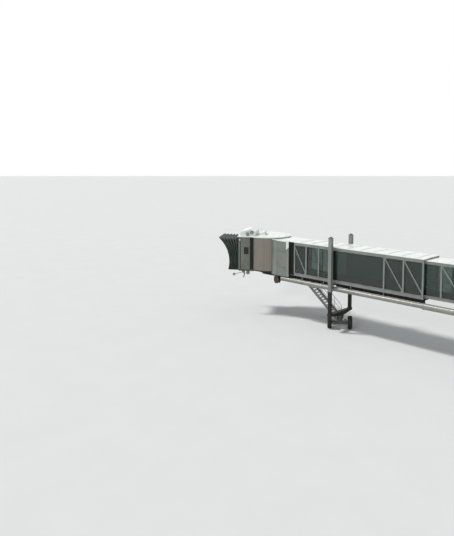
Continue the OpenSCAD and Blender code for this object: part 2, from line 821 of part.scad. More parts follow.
module cab_turntable() {
    top = floor_z - cab_deck_t - 60;
    low = top - turntable_h;
    color("#2a2a28") {
        // Drum with a dished underside and a wider bearing ring
        translate([-cab_d, 0, 0])
            rotate_extrude($fn = circle_fn)
                polygon([[0, low], [turntable_r - 250, low], [turntable_r, low + 120], [turntable_r, top - 60],
                    [turntable_r + 120, top - 60], [turntable_r + 120, top - seat], [0, top - seat]]);
        both_sides() {
            run(i_beam(-beam_y, low, under_w, top - 70 - low, flange_t * 2, flange_t * 2), box_d, cab_d);
            span(box_d, box_d + 300, -beam_y - under_w / 2, -beam_y + under_w / 2, low, floor_z - deck_t);
        }
    }
}

// Drum that winds in the ground supply's cable, under the near side of the closed box
module cable_hoist() {
    at = outer_end + 2200;
    inside = -beam_y - under_w / 2 - 25;
    wide = 340;
    near = inside - wide;
    color("#5a4030") {
        for (y = [near, inside - 20])
            plate([[-at + 300, hoist_z + 120], [-at + 200, hoist_z + 300], [-at + 160, floor_z - deck_t],
                [-at - 160, floor_z - deck_t], [-at - 200, hoist_z + 300], [-at - 300, hoist_z + 120],
                [-at - 300, hoist_z - 120], [-at - 180, hoist_z - 380], [-at + 180, hoist_z - 380],
                [-at + 300, hoist_z - 120]], y, 20);
        span(at - 160, at + 160, near, inside, floor_z - deck_t - 20, floor_z - deck_t);
        translate([-at, near + 10, hoist_z])
            rotate([-90, 0, 0]) cylinder(h = wide - 20, r = 170, $fn = 48);
        for (y = [near + 20, inside - 45])
            translate([-at, y, hoist_z])
                rotate([-90, 0, 0]) cylinder(h = 25, r = 280, $fn = 64);
        // Guide roller
        translate([-at - 90, near + 10, hoist_z - 330])
            rotate([-90, 0, 0]) cylinder(h = wide - 20, r = 35, $fn = 32);
        // Bearing cap and motor
        translate([-at, near - 15, hoist_z])
            rotate([-90, 0, 0]) cylinder(h = 16, r = 70, $fn = 48);
        translate([-at, inside - 1, hoist_z])
            rotate([-90, 0, 0]) cylinder(h = 220, r = 95, $fn = 48);
    }
}

module cab_curtains() {
    edge = asin(outer_y / (curtain_r - curtain_t)) + 0.02;
    side = acos(cab_rear / curtain_r) + 0.02;
    color("#968c7d")
        translate([-cab_d, 0, 0]) {
            arc_wall(curtain_r - curtain_t, curtain_r, edge, 180 + cab_turn - side, floor_z, cab_top - 40);
            arc_wall(curtain_r - curtain_t, curtain_r, cab_turn + side - 180, -edge, floor_z, cab_top - 40);
        }
}

// The service stair on the far side

module stair_landing() {
    outer = stair_y + stair_w;
    color("gray") {
        translate([0, 0, floor_z - 60])
            linear_extrude(60)
                polygon([[-door_d + 50, outer_y], [-door_d - door_w - 450, outer_y],
                    [-door_d - door_w - 450, stair_y - 50], [-stair_d - 1100, stair_y + 100],
                    [-stair_d - 1100, outer], [-stair_d, outer], [-stair_d, stair_y - 50],
                    [-door_d + 50, stair_y - 50]]);
        for (d = [door_d + 40, door_d + door_w + 150])
            span(d, d + 80, outer_y, stair_y - 60, floor_z - 240, floor_z - 60);
        span(stair_d + 60, stair_d + 160, stair_y - 60, outer - 20, floor_z - 240, floor_z - 60);
        // Lugs and pins that the stair hangs on
        for (side = [0, 1])
            translate([0, stair_y + stair_w / 2, 0])
                mirror([0, side, 0])
                    translate([0, -stair_w / 2, 0]) {
                        span(stair_pin_d - 40, stair_d + 70, stringer_t + 10, stringer_t + 30,
                            stair_pin_z - 50, floor_z - 60);
                        translate([-stair_pin_d, -10, stair_pin_z])
                            rotate([-90, 0, 0]) cylinder(h = stringer_t + 30, r = stair_pin_r, $fn = 48);
                    }
    }
}

module landing_rail() {
    outer = stair_y + stair_w;
    top = floor_z + handrail_h;
    corners = [[-stair_d - 60, outer - 30], [-stair_d - 1070, outer - 30], [-stair_d - 1070, rail_end_y]];
    color("silver") {
        for (c = corners)
            bar([c[0], c[1], floor_z], [c[0], c[1], top], handrail_r);
        for (i = [0:1])
            for (h = [handrail_h / 2, handrail_h - handrail_r])
                bar([corners[i][0], corners[i][1], floor_z + h], [corners[i + 1][0], corners[i + 1][1],
                    floor_z + h], handrail_r);
    }
}

// Height of the line through the steps' edges at a distance d
function pitch_line(d) = floor_z - (stair_d - d) * riser_h / going;
// Distance at which a line lies a given height over the pitch line at a given level
function pitch_at(over, level) = stair_foot + (level - over) * going / riser_h;

module stair_stringers() {
    head = stair_d - 25;
    color("gray") {
        difference() {
            for (y = [stair_y, stair_y + stair_w - stringer_t])
                plate([[-head, pitch_line(head) + 10], [-pitch_at(10, 60), 60], [-pitch_at(-300, 60), 60],
                    [-head, pitch_line(head) - 300]], y, stringer_t);
            translate([-stair_pin_d, stair_y - 1, stair_pin_z])
                rotate([-90, 0, 0]) cylinder(h = stair_w + 2, r = stair_pin_r + seat, $fn = 48);
        }
        // Axle and wheels of the stair's foot
        translate([-stair_foot - 250, stair_y - 60, stair_wheel_r])
            rotate([-90, 0, 0]) cylinder(h = stair_w + 120, r = 20, $fn = 24);
        for (y = [stair_y - 60, stair_y + stair_w + 10])
            translate([-stair_foot - 250, y, stair_wheel_r])
                rotate([-90, 0, 0]) cylinder(h = 50, r = stair_wheel_r, $fn = 48);
    }
}

// A tread of folded plate between the stringers
module tread(d, z) {
    back = -d;
    nose = -d - going + 20;
    fold = 6;
    plate([[back, z], [nose, z], [nose, z - tread_t], [nose + fold, z - tread_t], [nose + fold, z - fold],
        [back - fold, z - fold], [back - fold, z - tread_t], [back, z - tread_t]],
        stair_y + stringer_t, stair_w - 2 * stringer_t);
}

module stair_treads() {
    color("dimgray")
        for (i = [1:risers - 1])
            tread(stair_d - i * going, floor_z - i * riser_h);
}

module stair_handrails() {
    low = stair_foot + going * 1.5;
    high = stair_d - 120;
    color("silver")
        for (y = [stair_y - handrail_r, stair_y + stair_w + handrail_r]) {
            for (f = [0:1 / 6:1]) {
                d = low + (high - low) * f;
                bar([-d, y, pitch_line(d) - 20], [-d, y, pitch_line(d) + handrail_h], handrail_r);
            }
            for (h = [handrail_h / 2, handrail_h - 10])
                bar([-low, y, pitch_line(low) + h], [-high, y, pitch_line(high) + h], handrail_r);
        }
}

// The lift and the bogie

module lift_tubes() {
    color("#33332f")
        both_sides()
        {
            span(column_d - tube_l / 2, column_d + tube_l / 2, -column_y - tube_w / 2, -column_y + tube_w / 2,
                beam_low + beam_h, roof_z - 900);
            // Foot flange with its gusset plates
            span(column_d - 180, column_d + 180, -column_y - housing_w / 2, -column_y + housing_w / 2,
                beam_low + beam_h, beam_low + beam_h + 25);
            for (y = [-column_y - 80, -column_y + 60])
                plate([[-column_d - 175, beam_low + beam_h + 25], [-column_d + 175, beam_low + beam_h + 25],
                    [-column_d + tube_l / 2, beam_low + beam_h + 260],
                    [-column_d - tube_l / 2, beam_low + beam_h + 260]], y, 20);
        }
}

module cross_beam() {
    half = column_y + housing_w / 2;
    top = beam_low + beam_h;
    color("#33332f")
        difference() {
            translate([-column_d - 180, 0, 0])
                rotate([90, 0, 90])
                    linear_extrude(360)
                        polygon([[-half, top], [half, top], [half, top - 150], [600, beam_low],
                            [-600, beam_low], [-half, top - 150]]);
            translate([-column_d, 0, 0]) disc(60, beam_low - 1, beam_low + 120);
            // Web set back between the flanges on both faces
            for (x = [-181, 150])
                translate([-column_d + x, 0, 0])
                    rotate([90, 0, 90])
                        linear_extrude(31)
                            polygon([[-half + 40, top - 35], [half - 40, top - 35], [half - 40, top - 130],
                                [620, beam_low + 35], [-620, beam_low + 35], [-half + 40, top - 130]]);
        }
    // Ribs across the set-back web
    color("#33332f")
        for (y = [-1200, -700, 0, 700, 1200])
            for (x = [-180, 149])
                translate([-column_d + x, y - 10, top - 150]) cube([31, 20, 120]);
}

module bogie_frame() {
    inside = track / 2 - tyre_w / 2 - 40;
    color("#3c443e")
        bogie_place() {
            // Slewing ring and king pin under the cross beam
            disc(360, beam_low - 90, beam_low - seat);
            disc(60 - seat, beam_low - 90, beam_low + 100);
            translate([0, 0, axle_z + 100]) cylinder(h = beam_low - 90 - axle_z - 100, r1 = 200, r2 = 300,
                $fn = circle_fn);
            // Axle beam and axle
            translate([-inside, -170, axle_z - 150]) cube([2 * inside, 340, 300]);
            translate([-track / 2 - 130, 0, axle_z]) rotate([0, 90, 0])
                cylinder(h = track + 260, r = hub_r - seat, $fn = 48);
            // Drive motors
            for (s = [-1, 1])
                translate([s * (inside - 160), s * 150, axle_z + 20])
                    rotate([-90 * s, 0, 0]) cylinder(h = 420, r = 110, $fn = 32);
        }
}

module tyre() {
    half = tyre_w / 2;
    shoulder = 60;
    color("#1c1c1c")
        rotate([0, 90, 0])
            rotate_extrude($fn = circle_fn)
                polygon(concat([[rim_r, -half + 40], [rim_r + 50, -half + 6], [wheel_r - 1.6 * shoulder, -half],
                    [wheel_r - 0.6 * shoulder, -half + 0.3 * shoulder], [wheel_r, -half + shoulder]],
                    [for (g = [-1, 0, 1]) each [[wheel_r, g * 75 - 9], [wheel_r - 18, g * 75 - 6],
                        [wheel_r - 18, g * 75 + 6], [wheel_r, g * 75 + 9]]],
                    [[wheel_r, half - shoulder], [wheel_r - 0.6 * shoulder, half - 0.3 * shoulder],
                    [wheel_r - 1.6 * shoulder, half], [rim_r + 50, half - 6], [rim_r, half - 40]]));
}

module rim() {
    half = tyre_w / 2;
    color("#9a9c96")
        rotate([0, 90, 0])
            difference() {
                rotate_extrude($fn = circle_fn)
                    polygon([[hub_r, -90], [hub_r + 45, -90], [hub_r + 50, -40], [rim_r - 80, -25],
                        [rim_r - 30, -half + 70], [rim_r - 35, -half + 25], [rim_r, -half + 15],
                        [rim_r, half - 15], [rim_r - 35, half - 25], [rim_r - 30, half - 70],
                        [rim_r - 80, 25], [hub_r + 50, 40], [hub_r + 45, 90], [hub_r, 90]]);
                for (a = [0:45:315])
                    rotate([0, 0, a])
                        translate([(hub_r + rim_r) / 2, 0, -60]) cylinder(h = 120, r = 32, $fn = 32);
            }
}

module wheel_place(side) {
    bogie_place() translate([side * track / 2, 0, axle_z]) children();
}

module left_tyre() {
    wheel_place(-1) tyre();
}

module left_rim() {
    wheel_place(-1) rim();
}

module right_tyre() {
    wheel_place(1) tyre();
}

module right_rim() {
    wheel_place(1) rim();
}

// The cab

module cab_floor() {
    color("dimgray")
        cab_place() {
            disc(cab_floor_r, floor_z - cab_deck_t, floor_z);
            disc(turntable_r - 100, floor_z - cab_deck_t - 60, floor_z - cab_deck_t);
            translate([cab_rear, -cab_half_w, floor_z - cab_deck_t])
                cube([cab_front - cab_rear, 2 * cab_half_w, cab_deck_t]);
        }
}

module cab_side_wall() {
    // A side wall with a raised frame round its window, short of the front frame by the seat
    difference() {
        union() {
            translate([cab_rear, cab_half_w - cab_wall_t, floor_z])
                cube([cab_front - front_frame_l - seat - cab_rear, cab_wall_t, cab_wall_h]);
            translate([window_a - 60, cab_half_w - 1, floor_z + window_low - 60])
                cube([window_l + 120, 16, window_h + 120]);
            // Recessed strip beside the curtain, behind two raised edges
            translate([cab_rear, cab_half_w - 1, floor_z]) cube([30, 16, cab_wall_h]);
            translate([window_a - 150, cab_half_w - 1, floor_z]) cube([30, 16, cab_wall_h]);
        }
        translate([window_a, cab_half_w - cab_wall_t - 1, floor_z + window_low])
            cube([window_l, cab_wall_t + 30, window_h]);
    }
}

module cab_walls() {
    color("#73766f")
        cab_place()
            both_sides() cab_side_wall();
}

module cab_window() {
    color("darkslategray", 0.6)
        cab_place()
            both_sides()
                translate([window_a, cab_half_w - cab_wall_t / 2 - glass_t / 2, floor_z + window_low])
                    cube([window_l, glass_t, window_h]);
}

module cab_front_frame() {
    back = cab_front - front_frame_l;
    color("#73766f")
        cab_place() {
            difference() {
                translate([back, -cab_half_w, floor_z]) cube([front_frame_l, 2 * cab_half_w, cab_wall_h]);
                translate([back - 1, -front_open, floor_z - 1])
                    cube([front_frame_l + 2, 2 * front_open, front_open_h + 1]);
                // Guides for the roller shutter
                both_sides()
                    translate([back + 90, front_open - 1, floor_z - 1])
                        cube([40, 41, front_open_h + 1]);
            }
            // Housing of the rolled-up shutter
            translate([back - 260, -front_open, floor_z + front_open_h + 60])
                cube([261, 2 * front_open, 320]);
        }
}

module cab_roof() {
    color("whitesmoke")
        cab_place() {
            disc(curtain_r + cab_eave, cab_top, cab_top + cab_roof_t);
            // Front part, with a sloped front edge
            plate([[0, cab_top], [cab_front + cab_eave, cab_top], [cab_front + cab_eave, cab_top + 40],
                [cab_front + cab_eave - 60, cab_top + cab_roof_t], [0, cab_top + cab_roof_t]],
                -cab_half_w - cab_eave, 2 * (cab_half_w + cab_eave));
            difference() {
                disc(cab_floor_r, cab_top - 150, cab_top);
                disc(cab_floor_r - 40, 0, cab_top + 1);
            }
            // Cooling unit
            plate([[1050, cab_top + cab_roof_t - 1], [980, cab_top + 180], [360, cab_top + 440],
                [250, cab_top + 400], [250, cab_top + cab_roof_t - 1]], -550, 1100);
        }
}

// A wedge of sheet over the front of the cab's roof, open underneath
module cab_hood() {
    low = cab_top + cab_roof_t;
    foot = [cab_front - 60, low];
    shoulder = [cab_front - 190, cab_top + 460];
    peak = [cab_front - 1050, cab_top + 720];
    rear = [cab_front - 1620, cab_top + 500];
    heel = [cab_front - 1650, low];
    half = cab_half_w - 330;
    sheet = 40;
    color("whitesmoke")
        cab_place()
            difference() {
                plate([foot, shoulder, peak, rear, heel], -half, 2 * half);
                plate([foot - [sheet + 3, 1], shoulder - [sheet, sheet / 2], peak - [0, sheet + 5],
                    rear + [sheet, -sheet / 2], heel + [sheet + 1, -1]], -half + sheet, 2 * (half - sheet));
            }
}

// Flood lamps on the hood's sides and a marker lamp on the front frame
module cab_lamps() {
    hood_side = cab_half_w - 330;
    color("#2a2a28")
        cab_place()
            both_sides() {
                for (at = [[1900, 270], [1480, 430]])
                    translate([at[0], hood_side, cab_top + at[1]])
                        rotate([-90, 0, 0])
                            rotate_extrude($fn = 64)
                                polygon([[0, 0], [60, 0], [150, 70], [160, 130], [140, 130], [135, 115],
                                    [0, 115]]);
                translate([cab_front - front_frame_l / 2, cab_half_w, cab_top - 260])
                    rotate([-90, 0, 0])
                        rotate_extrude($fn = 64)
                            polygon([[0, 0], [50, 0], [110, 40], [120, 90], [105, 90], [100, 78], [0, 78]]);
            }
}

// Rubber fender along the cab's front edge
module cab_bumper() {
    half = front_open + 90;
    color("#1c1c1c")
        cab_place()
            plate([[cab_front, floor_z - 30], [cab_front + 70, floor_z - 30], [cab_front + 95, floor_z - 60],
                [cab_front + 100, floor_z - 95], [cab_front + 95, floor_z - 125], [cab_front + 70, floor_z - 140],
                [cab_front, floor_z - 140]], -half, 2 * half);
}

// Arm and wheel that feel the aircraft's height beside the door
module auto_leveller() {
    y = cab_half_w - 260;
    low = floor_z - cab_deck_t;
    color("gray")
        cab_place() {
            difference() {
                plate([[2440, low], [2160, low], [2130, low - 320], [2180, low - 560], [2300, low - 720],
                    [2360, low - 700], [2280, low - 540], [2260, low - 330], [2440, low - 160]], y, 60);
                translate([2300, y - 1, low - 150])
                    rotate([-90, 0, 0]) cylinder(h = 62, r = 45, $fn = 48);
            }
            bar([2250, y + 85, low - 120], [3220, y + 85, low - 400], 26, 48);
            translate([3220, y + 40, low - 400])
                rotate([-90, 0, 0]) cylinder(h = 90, r = 130, $fn = 64);
            translate([2250, y - 10, low - 120])
                rotate([-90, 0, 0]) cylinder(h = 130, r = 40, $fn = 48);
            // Cable drum beside it
            translate([1850, y - 40, low - 200])
                rotate([-90, 0, 0]) cylinder(h = 110, r = 190, $fn = 64);
            translate([1800, y - 20, low - 60]) cube([100, 70, 60]);
        }
}

// The canopy: an arch of folds with a pad that closes on the fuselage

module canopy_arch() {
    low = floor_z - 100;
    top = cab_top - canopy_drop;
    difference() {
        translate([cab_front + seat, -canopy_half_w, low])
            cube([canopy_reach + fuselage_r, 2 * canopy_half_w, top - low]);
        translate([cab_front, -canopy_half_w + fold_t, low - 1])
            cube([canopy_reach + fuselage_r + 2, 2 * (canopy_half_w - fold_t), top - low + 1 - fold_t]);
    }
}

module fuselage_shape(r) {
    translate([cab_front + canopy_reach + fuselage_r, 0, floor_z + fuselage_up])
        rotate([90, 0, 0])
            cylinder(h = 4 * canopy_half_w, r = r, center = true, $fn = circle_fn);
}

module canopy_folds() {
    color("#323c37")
        cab_place()
            difference() {
                canopy_arch();
                fuselage_shape(fuselage_r + pad_t + seat);
            }
}

module canopy_pad() {
    color("#1c1c1c")
        cab_place()
            difference() {
                intersection() {
                    canopy_arch();
                    fuselage_shape(fuselage_r + pad_t);
                }
                fuselage_shape(fuselage_r);
                translate([cab_front + canopy_reach + fuselage_r, -2 * canopy_half_w, 0])
                    cube([fuselage_r * 2, 4 * canopy_half_w, 2 * cab_top]);
            }
}

pedestal_column();
rotunda_floor();
rotunda_roof();
terminal_portal();
rotunda_curtains();
swing_frame();
tunnel_seal();
inner_floor();
inner_roof();
inner_near_side();
inner_far_side();
inner_glass();
inner_pipe();
outer_floor();
outer_underframe();
outer_roof();
outer_near_side();
outer_far_side();
outer_glass();
outer_pipe();
tunnel_end_frame();
lift_housings();
transition_walls();
transition_roof();
service_door();
cab_turntable();
cab_curtains();
cable_hoist();
stair_landing();
landing_rail();
stair_stringers();
stair_treads();
stair_handrails();
lift_tubes();
cross_beam();
bogie_frame();
left_tyre();
left_rim();
right_tyre();
right_rim();
cab_floor();
cab_walls();
cab_front_frame();
cab_roof();
cab_hood();
cab_window();
cab_lamps();
cab_bumper();
auto_leveller();
canopy_folds();
canopy_pad();
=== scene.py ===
"""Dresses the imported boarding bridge: seams, slats, pleats, gaskets, bolts and finishes. Sizes are in metres."""
import math

import bmesh
import bpy
import numpy as np
from mathutils import Matrix, Vector


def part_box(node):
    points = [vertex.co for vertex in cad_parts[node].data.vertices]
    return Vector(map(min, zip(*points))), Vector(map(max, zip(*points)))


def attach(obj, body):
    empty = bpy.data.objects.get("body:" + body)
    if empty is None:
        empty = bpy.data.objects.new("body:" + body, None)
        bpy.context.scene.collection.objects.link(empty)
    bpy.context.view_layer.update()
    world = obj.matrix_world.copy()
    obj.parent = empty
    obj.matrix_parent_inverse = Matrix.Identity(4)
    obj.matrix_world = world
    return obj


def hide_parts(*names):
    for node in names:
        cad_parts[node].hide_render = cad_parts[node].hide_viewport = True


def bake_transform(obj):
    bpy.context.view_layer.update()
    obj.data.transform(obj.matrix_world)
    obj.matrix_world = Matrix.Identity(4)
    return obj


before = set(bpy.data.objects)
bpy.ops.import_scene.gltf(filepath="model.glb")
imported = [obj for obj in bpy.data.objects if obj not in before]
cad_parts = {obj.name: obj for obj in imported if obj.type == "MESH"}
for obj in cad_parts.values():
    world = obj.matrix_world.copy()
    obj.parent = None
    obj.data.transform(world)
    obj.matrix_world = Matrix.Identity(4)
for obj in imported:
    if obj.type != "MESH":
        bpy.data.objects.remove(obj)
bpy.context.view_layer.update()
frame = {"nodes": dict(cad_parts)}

bl_info = {
    "name": "Boarding bridge dressing",
    "version": (1, 0, 0),
    "blender": (4, 5, 0),
    "location": "View3D > Sidebar > Bridge",
    "description": "Adds the trim, fabric, slats and finishes of a glass boarding bridge",
    "category": "Object",
}

UP, NEAR, FAR, ALONG = (0, 0, 1), (0, -1, 0), (0, 1, 0), (1, 0, 0)

# Corners of the CAD nodes that the pieces are measured from
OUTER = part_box("outer_near_side")
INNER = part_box("inner_near_side")
BOX_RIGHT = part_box("transition_walls")[1][0]
MOUTH, OUTER_END = -OUTER[1][0], -OUTER[0][0]
INNER_START, INNER_END = -INNER[1][0], -INNER[0][0]
# Each tunnel's name, half width, and the sill and the head of its glass
TUNNELS = (("outer", 1.3, 4.65, 7.23), ("inner", 1.1, 4.7, 7.16))
# Half of a post's width, the posts' distance, and the shorter one of the outer tunnel's last bays
POST = 0.065
BAY = 1.7
END_BAY = 1.4
FLOOR = 4.4
# Length that the outer tunnel can go back over the inner one, with a margin
REACH = 3.15
# Half width of the closed box and of the rotunda's two doorways
WALL = 1.3
BOX_FOOT, BOX_HEAD = 4.11, 7.46
# The cab's pivot, its turn at rest, half its width, and the radii of both curtains
PIVOT = np.array([-29.1, 0.0])
CAB_TURN = math.radians(35)
CAB_HALF = 1.65
CURTAIN_R = math.hypot(1.25, CAB_HALF)
ROTUNDA_R = 1.9
CURTAIN_HEAD = 7.558
# The lift columns' distance along the tunnel and to each side
COLUMN = 20.52
COLUMN_Y = 1.56
PIPE_R, SLEEVE_R = 0.2, 0.245
PIPE_Y, PIPE_Z = -1.2, 3.84
# The canopy's outline, and the fuselage's circle (ahead of the cab's pivot, height) that its pad closes on
CANOPY_HALF = 1.595
CANOPY_TOP = 7.515
FUSELAGE = (6.71, 5.15)
FUSELAGE_R = 3.0
PAD = 0.12


# Mesh work

def at(x, y, z):
    """Points from three coordinates, each a number or an array."""
    return np.stack(np.broadcast_arrays(*(np.asarray(v, float) for v in (x, y, z))), -1)


def joined(parts):
    """Several meshes as one: points follow each other and each face list is shifted by the points before it."""
    points, faces, count = [], [], 0
    for p, f in parts:
        points.append(np.asarray(p, float).reshape(-1, 3))
        faces += [[i + count for i in face] for face in f]
        count += len(points[-1])
    return np.concatenate(points), faces


def boxes(lows, highs):
    """Many boxes at once from arrays of low and high corners."""
    corner = np.array([[i, j, k] for k in (0, 1) for j in (0, 1) for i in (0, 1)])
    points = lows[:, None] + corner[None] * (highs - lows)[:, None]
    one = np.array([[0, 2, 3, 1], [4, 5, 7, 6], [0, 1, 5, 4], [2, 6, 7, 3], [0, 4, 6, 2], [1, 3, 7, 5]])
    faces = (one[None] + 8 * np.arange(len(lows))[:, None, None]).reshape(-1, 4)
    return points.reshape(-1, 3), faces.tolist()


def carried(outline, starts, ends, ups):
    """A closed outline (u, v) carried from each start to each end.
    A point is start + u * side + v * up, where side is the unit of (end - start) cross up."""
    outline = np.asarray(outline, float)
    starts, ends, ups = (np.atleast_2d(np.asarray(x, float)) for x in (starts, ends, ups))
    ups = np.broadcast_to(ups, starts.shape)
    along = ends - starts
    along = along / np.linalg.norm(along, axis=1, keepdims=True)
    side = np.cross(along, ups)
    side = side / np.linalg.norm(side, axis=1, keepdims=True)
    up = np.cross(side, along)
    ring = outline[None, :, :1] * side[:, None] + outline[None, :, 1:] * up[:, None]
    points = np.stack([starts[:, None] + ring, ends[:, None] + ring], 1)
    n, m = len(outline), len(starts)
    i = np.arange(n)
    j = (i + 1) % n
    sides = np.stack([i, n + i, n + j, j], 1)
    shift = 2 * n * np.arange(m)
    faces = (sides[None] + shift[:, None, None]).reshape(-1, 4).tolist()
    faces += (i[None] + shift[:, None]).tolist()
    faces += ((n + i[::-1])[None] + shift[:, None]).tolist()
    return points.reshape(-1, 3), faces


def turned(profile, centres, axes, steps=24, closed=False):
    """A profile (radius, height) turned about an axis through each centre.
    A point is centre + radius * (cos t * e1 + sin t * e2) + height * axis; closed joins the profile's ends."""
    profile = np.asarray(profile, float)
    centres, axes = (np.atleast_2d(np.asarray(x, float)) for x in (centres, axes))
    axes = np.broadcast_to(axes, centres.shape)
    axes = axes / np.linalg.norm(axes, axis=1, keepdims=True)
    helper = np.where(np.abs(axes[:, 2:]) < 0.9, [[0.0, 0.0, 1.0]], [[1.0, 0.0, 0.0]])
    e1 = np.cross(helper, axes)
    e1 = e1 / np.linalg.norm(e1, axis=1, keepdims=True)
    e2 = np.cross(axes, e1)
    t = np.arange(steps) * 2 * math.pi / steps
    circle = np.cos(t)[None, :, None] * e1[:, None] + np.sin(t)[None, :, None] * e2[:, None]
    points = (centres[:, None, None] + profile[None, :, None, :1] * circle[:, None]
              + profile[None, :, None, 1:] * axes[:, None, None])
    k = len(profile)
    rows = np.arange(k if closed else k - 1)[:, None]
    here = np.arange(steps)[None]
    after = (here + 1) % steps
    above = (rows + 1) % k
    one = np.stack([rows * steps + here, rows * steps + after, above * steps + after, above * steps + here],
                   -1).reshape(-1, 4)
    shift = k * steps * np.arange(len(centres))
    faces = (one[None] + shift[:, None, None]).reshape(-1, 4).tolist()
    if not closed:
        faces += (here[:, ::-1] + shift[:, None]).tolist()
        faces += ((k - 1) * steps + here + shift[:, None]).tolist()
    return points.reshape(-1, 3), faces


def sheet_faces(rows, columns, close=False):
    """Quads of a grid of rows by columns, joined round in the columns where close is set."""
    r = np.arange(rows - 1)[:, None]
    c = np.arange(columns if close else columns - 1)[None]
    n = (c + 1) % columns
    return np.stack([r * columns + c, r * columns + n, (r + 1) * columns + n, (r + 1) * columns + c],
                    -1).reshape(-1, 4).tolist()


def tube(path, radius, sides=12):
    """A round tube along a path: circles of one radius square to the path's direction at each of its points."""
    path = np.asarray(path, float)
    along = np.gradient(path, axis=0)
    along /= np.linalg.norm(along, axis=1, keepdims=True)
    side = np.cross(along, UP)
    side /= np.linalg.norm(side, axis=1, keepdims=True)
    top = np.cross(side, along)
    t = np.arange(sides) * 2 * math.pi / sides
    ring = radius * (np.cos(t)[None, :, None] * side[:, None] + np.sin(t)[None, :, None] * top[:, None])
    faces = [f[::-1] for f in sheet_faces(len(path), sides, True)]
    last = (len(path) - 1) * sides
    faces += [list(range(sides)), list(range(last + sides - 1, last - 1, -1))]
    return (path[:, None] + ring).reshape(-1, 3), faces


def rounded(width, height, radius, steps=4):
    """Outline of a rectangle with quarter circles at its corners, centred, anticlockwise."""
    t = np.linspace(0, math.pi / 2, steps + 1)
    out = []
    for turn, sx, sy in ((0, 1, 1), (1, -1, 1), (2, -1, -1), (3, 1, -1)):
        a = t + turn * math.pi / 2
        out.append(np.stack([sx * (width / 2 - radius) + radius * np.cos(a),
                             sy * (height / 2 - radius) + radius * np.sin(a)], 1))
    return np.concatenate(out)


def strip(foot, head, height):
    """Outline of a flat strip: half widths at its foot and its head, and its height."""
    return [(-foot, 0), (foot, 0), (head, height), (-head, height)]


def pin(radius, height, head=None, rise=0.0):
    """Profile of a round pin or disc, with a head that narrows to a second radius over a rise."""
    top = [(head, height + rise)] if head else []
    return [(0.001, 0.0), (radius, 0.0), (radius, height), *top, (0.001, height + rise)]


def swept_band(centre, angle, corners):
    """A four-sided section swept round a centre: a point is centre + r * (cos t, sin t) at height z, for each
    corner (r, z) and each angle t; r may itself be an array along the angles."""
    points = np.stack([at(centre[0] + r * np.cos(angle), centre[1] + r * np.sin(angle), z) for r, z in corners], 1)
    last = 4 * len(angle) - 1
    faces = sheet_faces(len(angle), 4, True) + [[0, 1, 2, 3], [last, last - 1, last - 2, last - 3]]
    return points.reshape(-1, 3), [f[::-1] for f in faces] if angle[-1] > angle[0] else faces


def cab_point(points):
    """Points of the cab's own axes (ahead, near side, height) in the frame, turned with the cab about its pivot."""
    p = np.asarray(points, float)
    c, s = math.cos(math.pi + CAB_TURN), math.sin(math.pi + CAB_TURN)
    return at(PIVOT[0] + p[..., 0] * c - p[..., 1] * s, PIVOT[1] + p[..., 0] * s + p[..., 1] * c, p[..., 2])


def cab_at(ahead, side, height):
    """A point, or points, of the cab's own axes from three coordinates."""
    return cab_point(at(ahead, side, height))


def mirrored(part):
    """A part and its mirror image on the far side, with the image's faces turned back outwards."""
    points, faces = part
    return joined([part, (points * [1, -1, 1], [f[::-1] for f in faces])])


def piece(name, part, surface, body=None, smooth=None, blend=None, replaces=None):
    """A new object at the origin from points and faces. It rides on a body; with a blend, its transform is only baked
    into its points.
    """
    points, faces = part
    mesh = bpy.data.meshes.new(name)
    mesh.from_pydata(np.asarray(points, float).tolist(), [], faces)
    mesh.update()
    obj = bpy.data.objects.new(name, mesh)
    bpy.context.scene.collection.objects.link(obj)
    mesh.materials.append(finish(surface))
    if smooth is not None:
        mesh.shade_smooth()
        mesh.set_sharp_from_angle(angle=math.radians(smooth))
    if body:
        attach(obj, body)
    if blend:
        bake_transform(obj)
    if replaces:
        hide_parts(replaces)
    return obj


def recalculated(obj):
    """Turns all of a closed mesh's faces outwards."""
    work = bmesh.new()
    work.from_mesh(obj.data)
    bmesh.ops.recalc_face_normals(work, faces=work.faces)
    work.to_mesh(obj.data)
    work.free()


def hung(cloth):
    """Gives a folded cloth the thickness of coated fabric."""
    wall = cloth.modifiers.new("cloth_thickness", "SOLIDIFY")
    wall.thickness = 0.004
    wall.offset = 0


HEX_HEAD = [(0.001, 0.0), (0.5, 0.0), (0.5, 0.28), (0.42, 0.34), (0.001, 0.34)]
WASHER = [(0.001, 0.0), (0.8, 0.0), (0.8, 0.06), (0.001, 0.06)]


def bolts(centres, axes, size):
    """Hexagon bolt heads on washers: two short turned profiles, six and twelve sided, scaled to the size."""
    heads = turned(np.array(HEX_HEAD) * size + [0, 0.05 * size], centres, axes, 6)
    return joined([turned(np.array(WASHER) * size, centres, axes, 12), heads])


# Materials

def linear(hexa):
    """Colour of an sRGB hex value in linear light: each channel by the standard's two-part curve."""
    c = np.array([int(hexa[i:i + 2], 16) / 255 for i in (1, 3, 5)])
    c = np.where(c <= 0.04045, c / 12.92, ((c + 0.055) / 1.055) ** 2.4)
    return (*c.tolist(), 1.0)


MIX = {"out": 2, "data_type": "RGBA"}


def add(tree, kind, inputs=None, out=None, stops=(), **settings):
    """Adds one node: settings are its own properties, inputs are numbers, hex colours or sockets to join, and
    stops fill a colour ramp. Returns the node, or its output of that name or number."""
    node = tree.nodes.new("ShaderNode" + kind)
    for name, value in settings.items():
        setattr(node, name, value)
    for name, value in (inputs or {}).items():
        if isinstance(value, bpy.types.NodeSocket):
            tree.links.new(value, node.inputs[name])
        else:
            node.inputs[name].default_value = linear(value) if isinstance(value, str) else value
    for number, (place, value) in enumerate(stops):
        cells = node.color_ramp.elements
        cell = cells[number] if number < 2 else cells.new(place)
        cell.position, cell.color = place, (value, value, value, 1)
    return node if out is None else node.outputs[out]


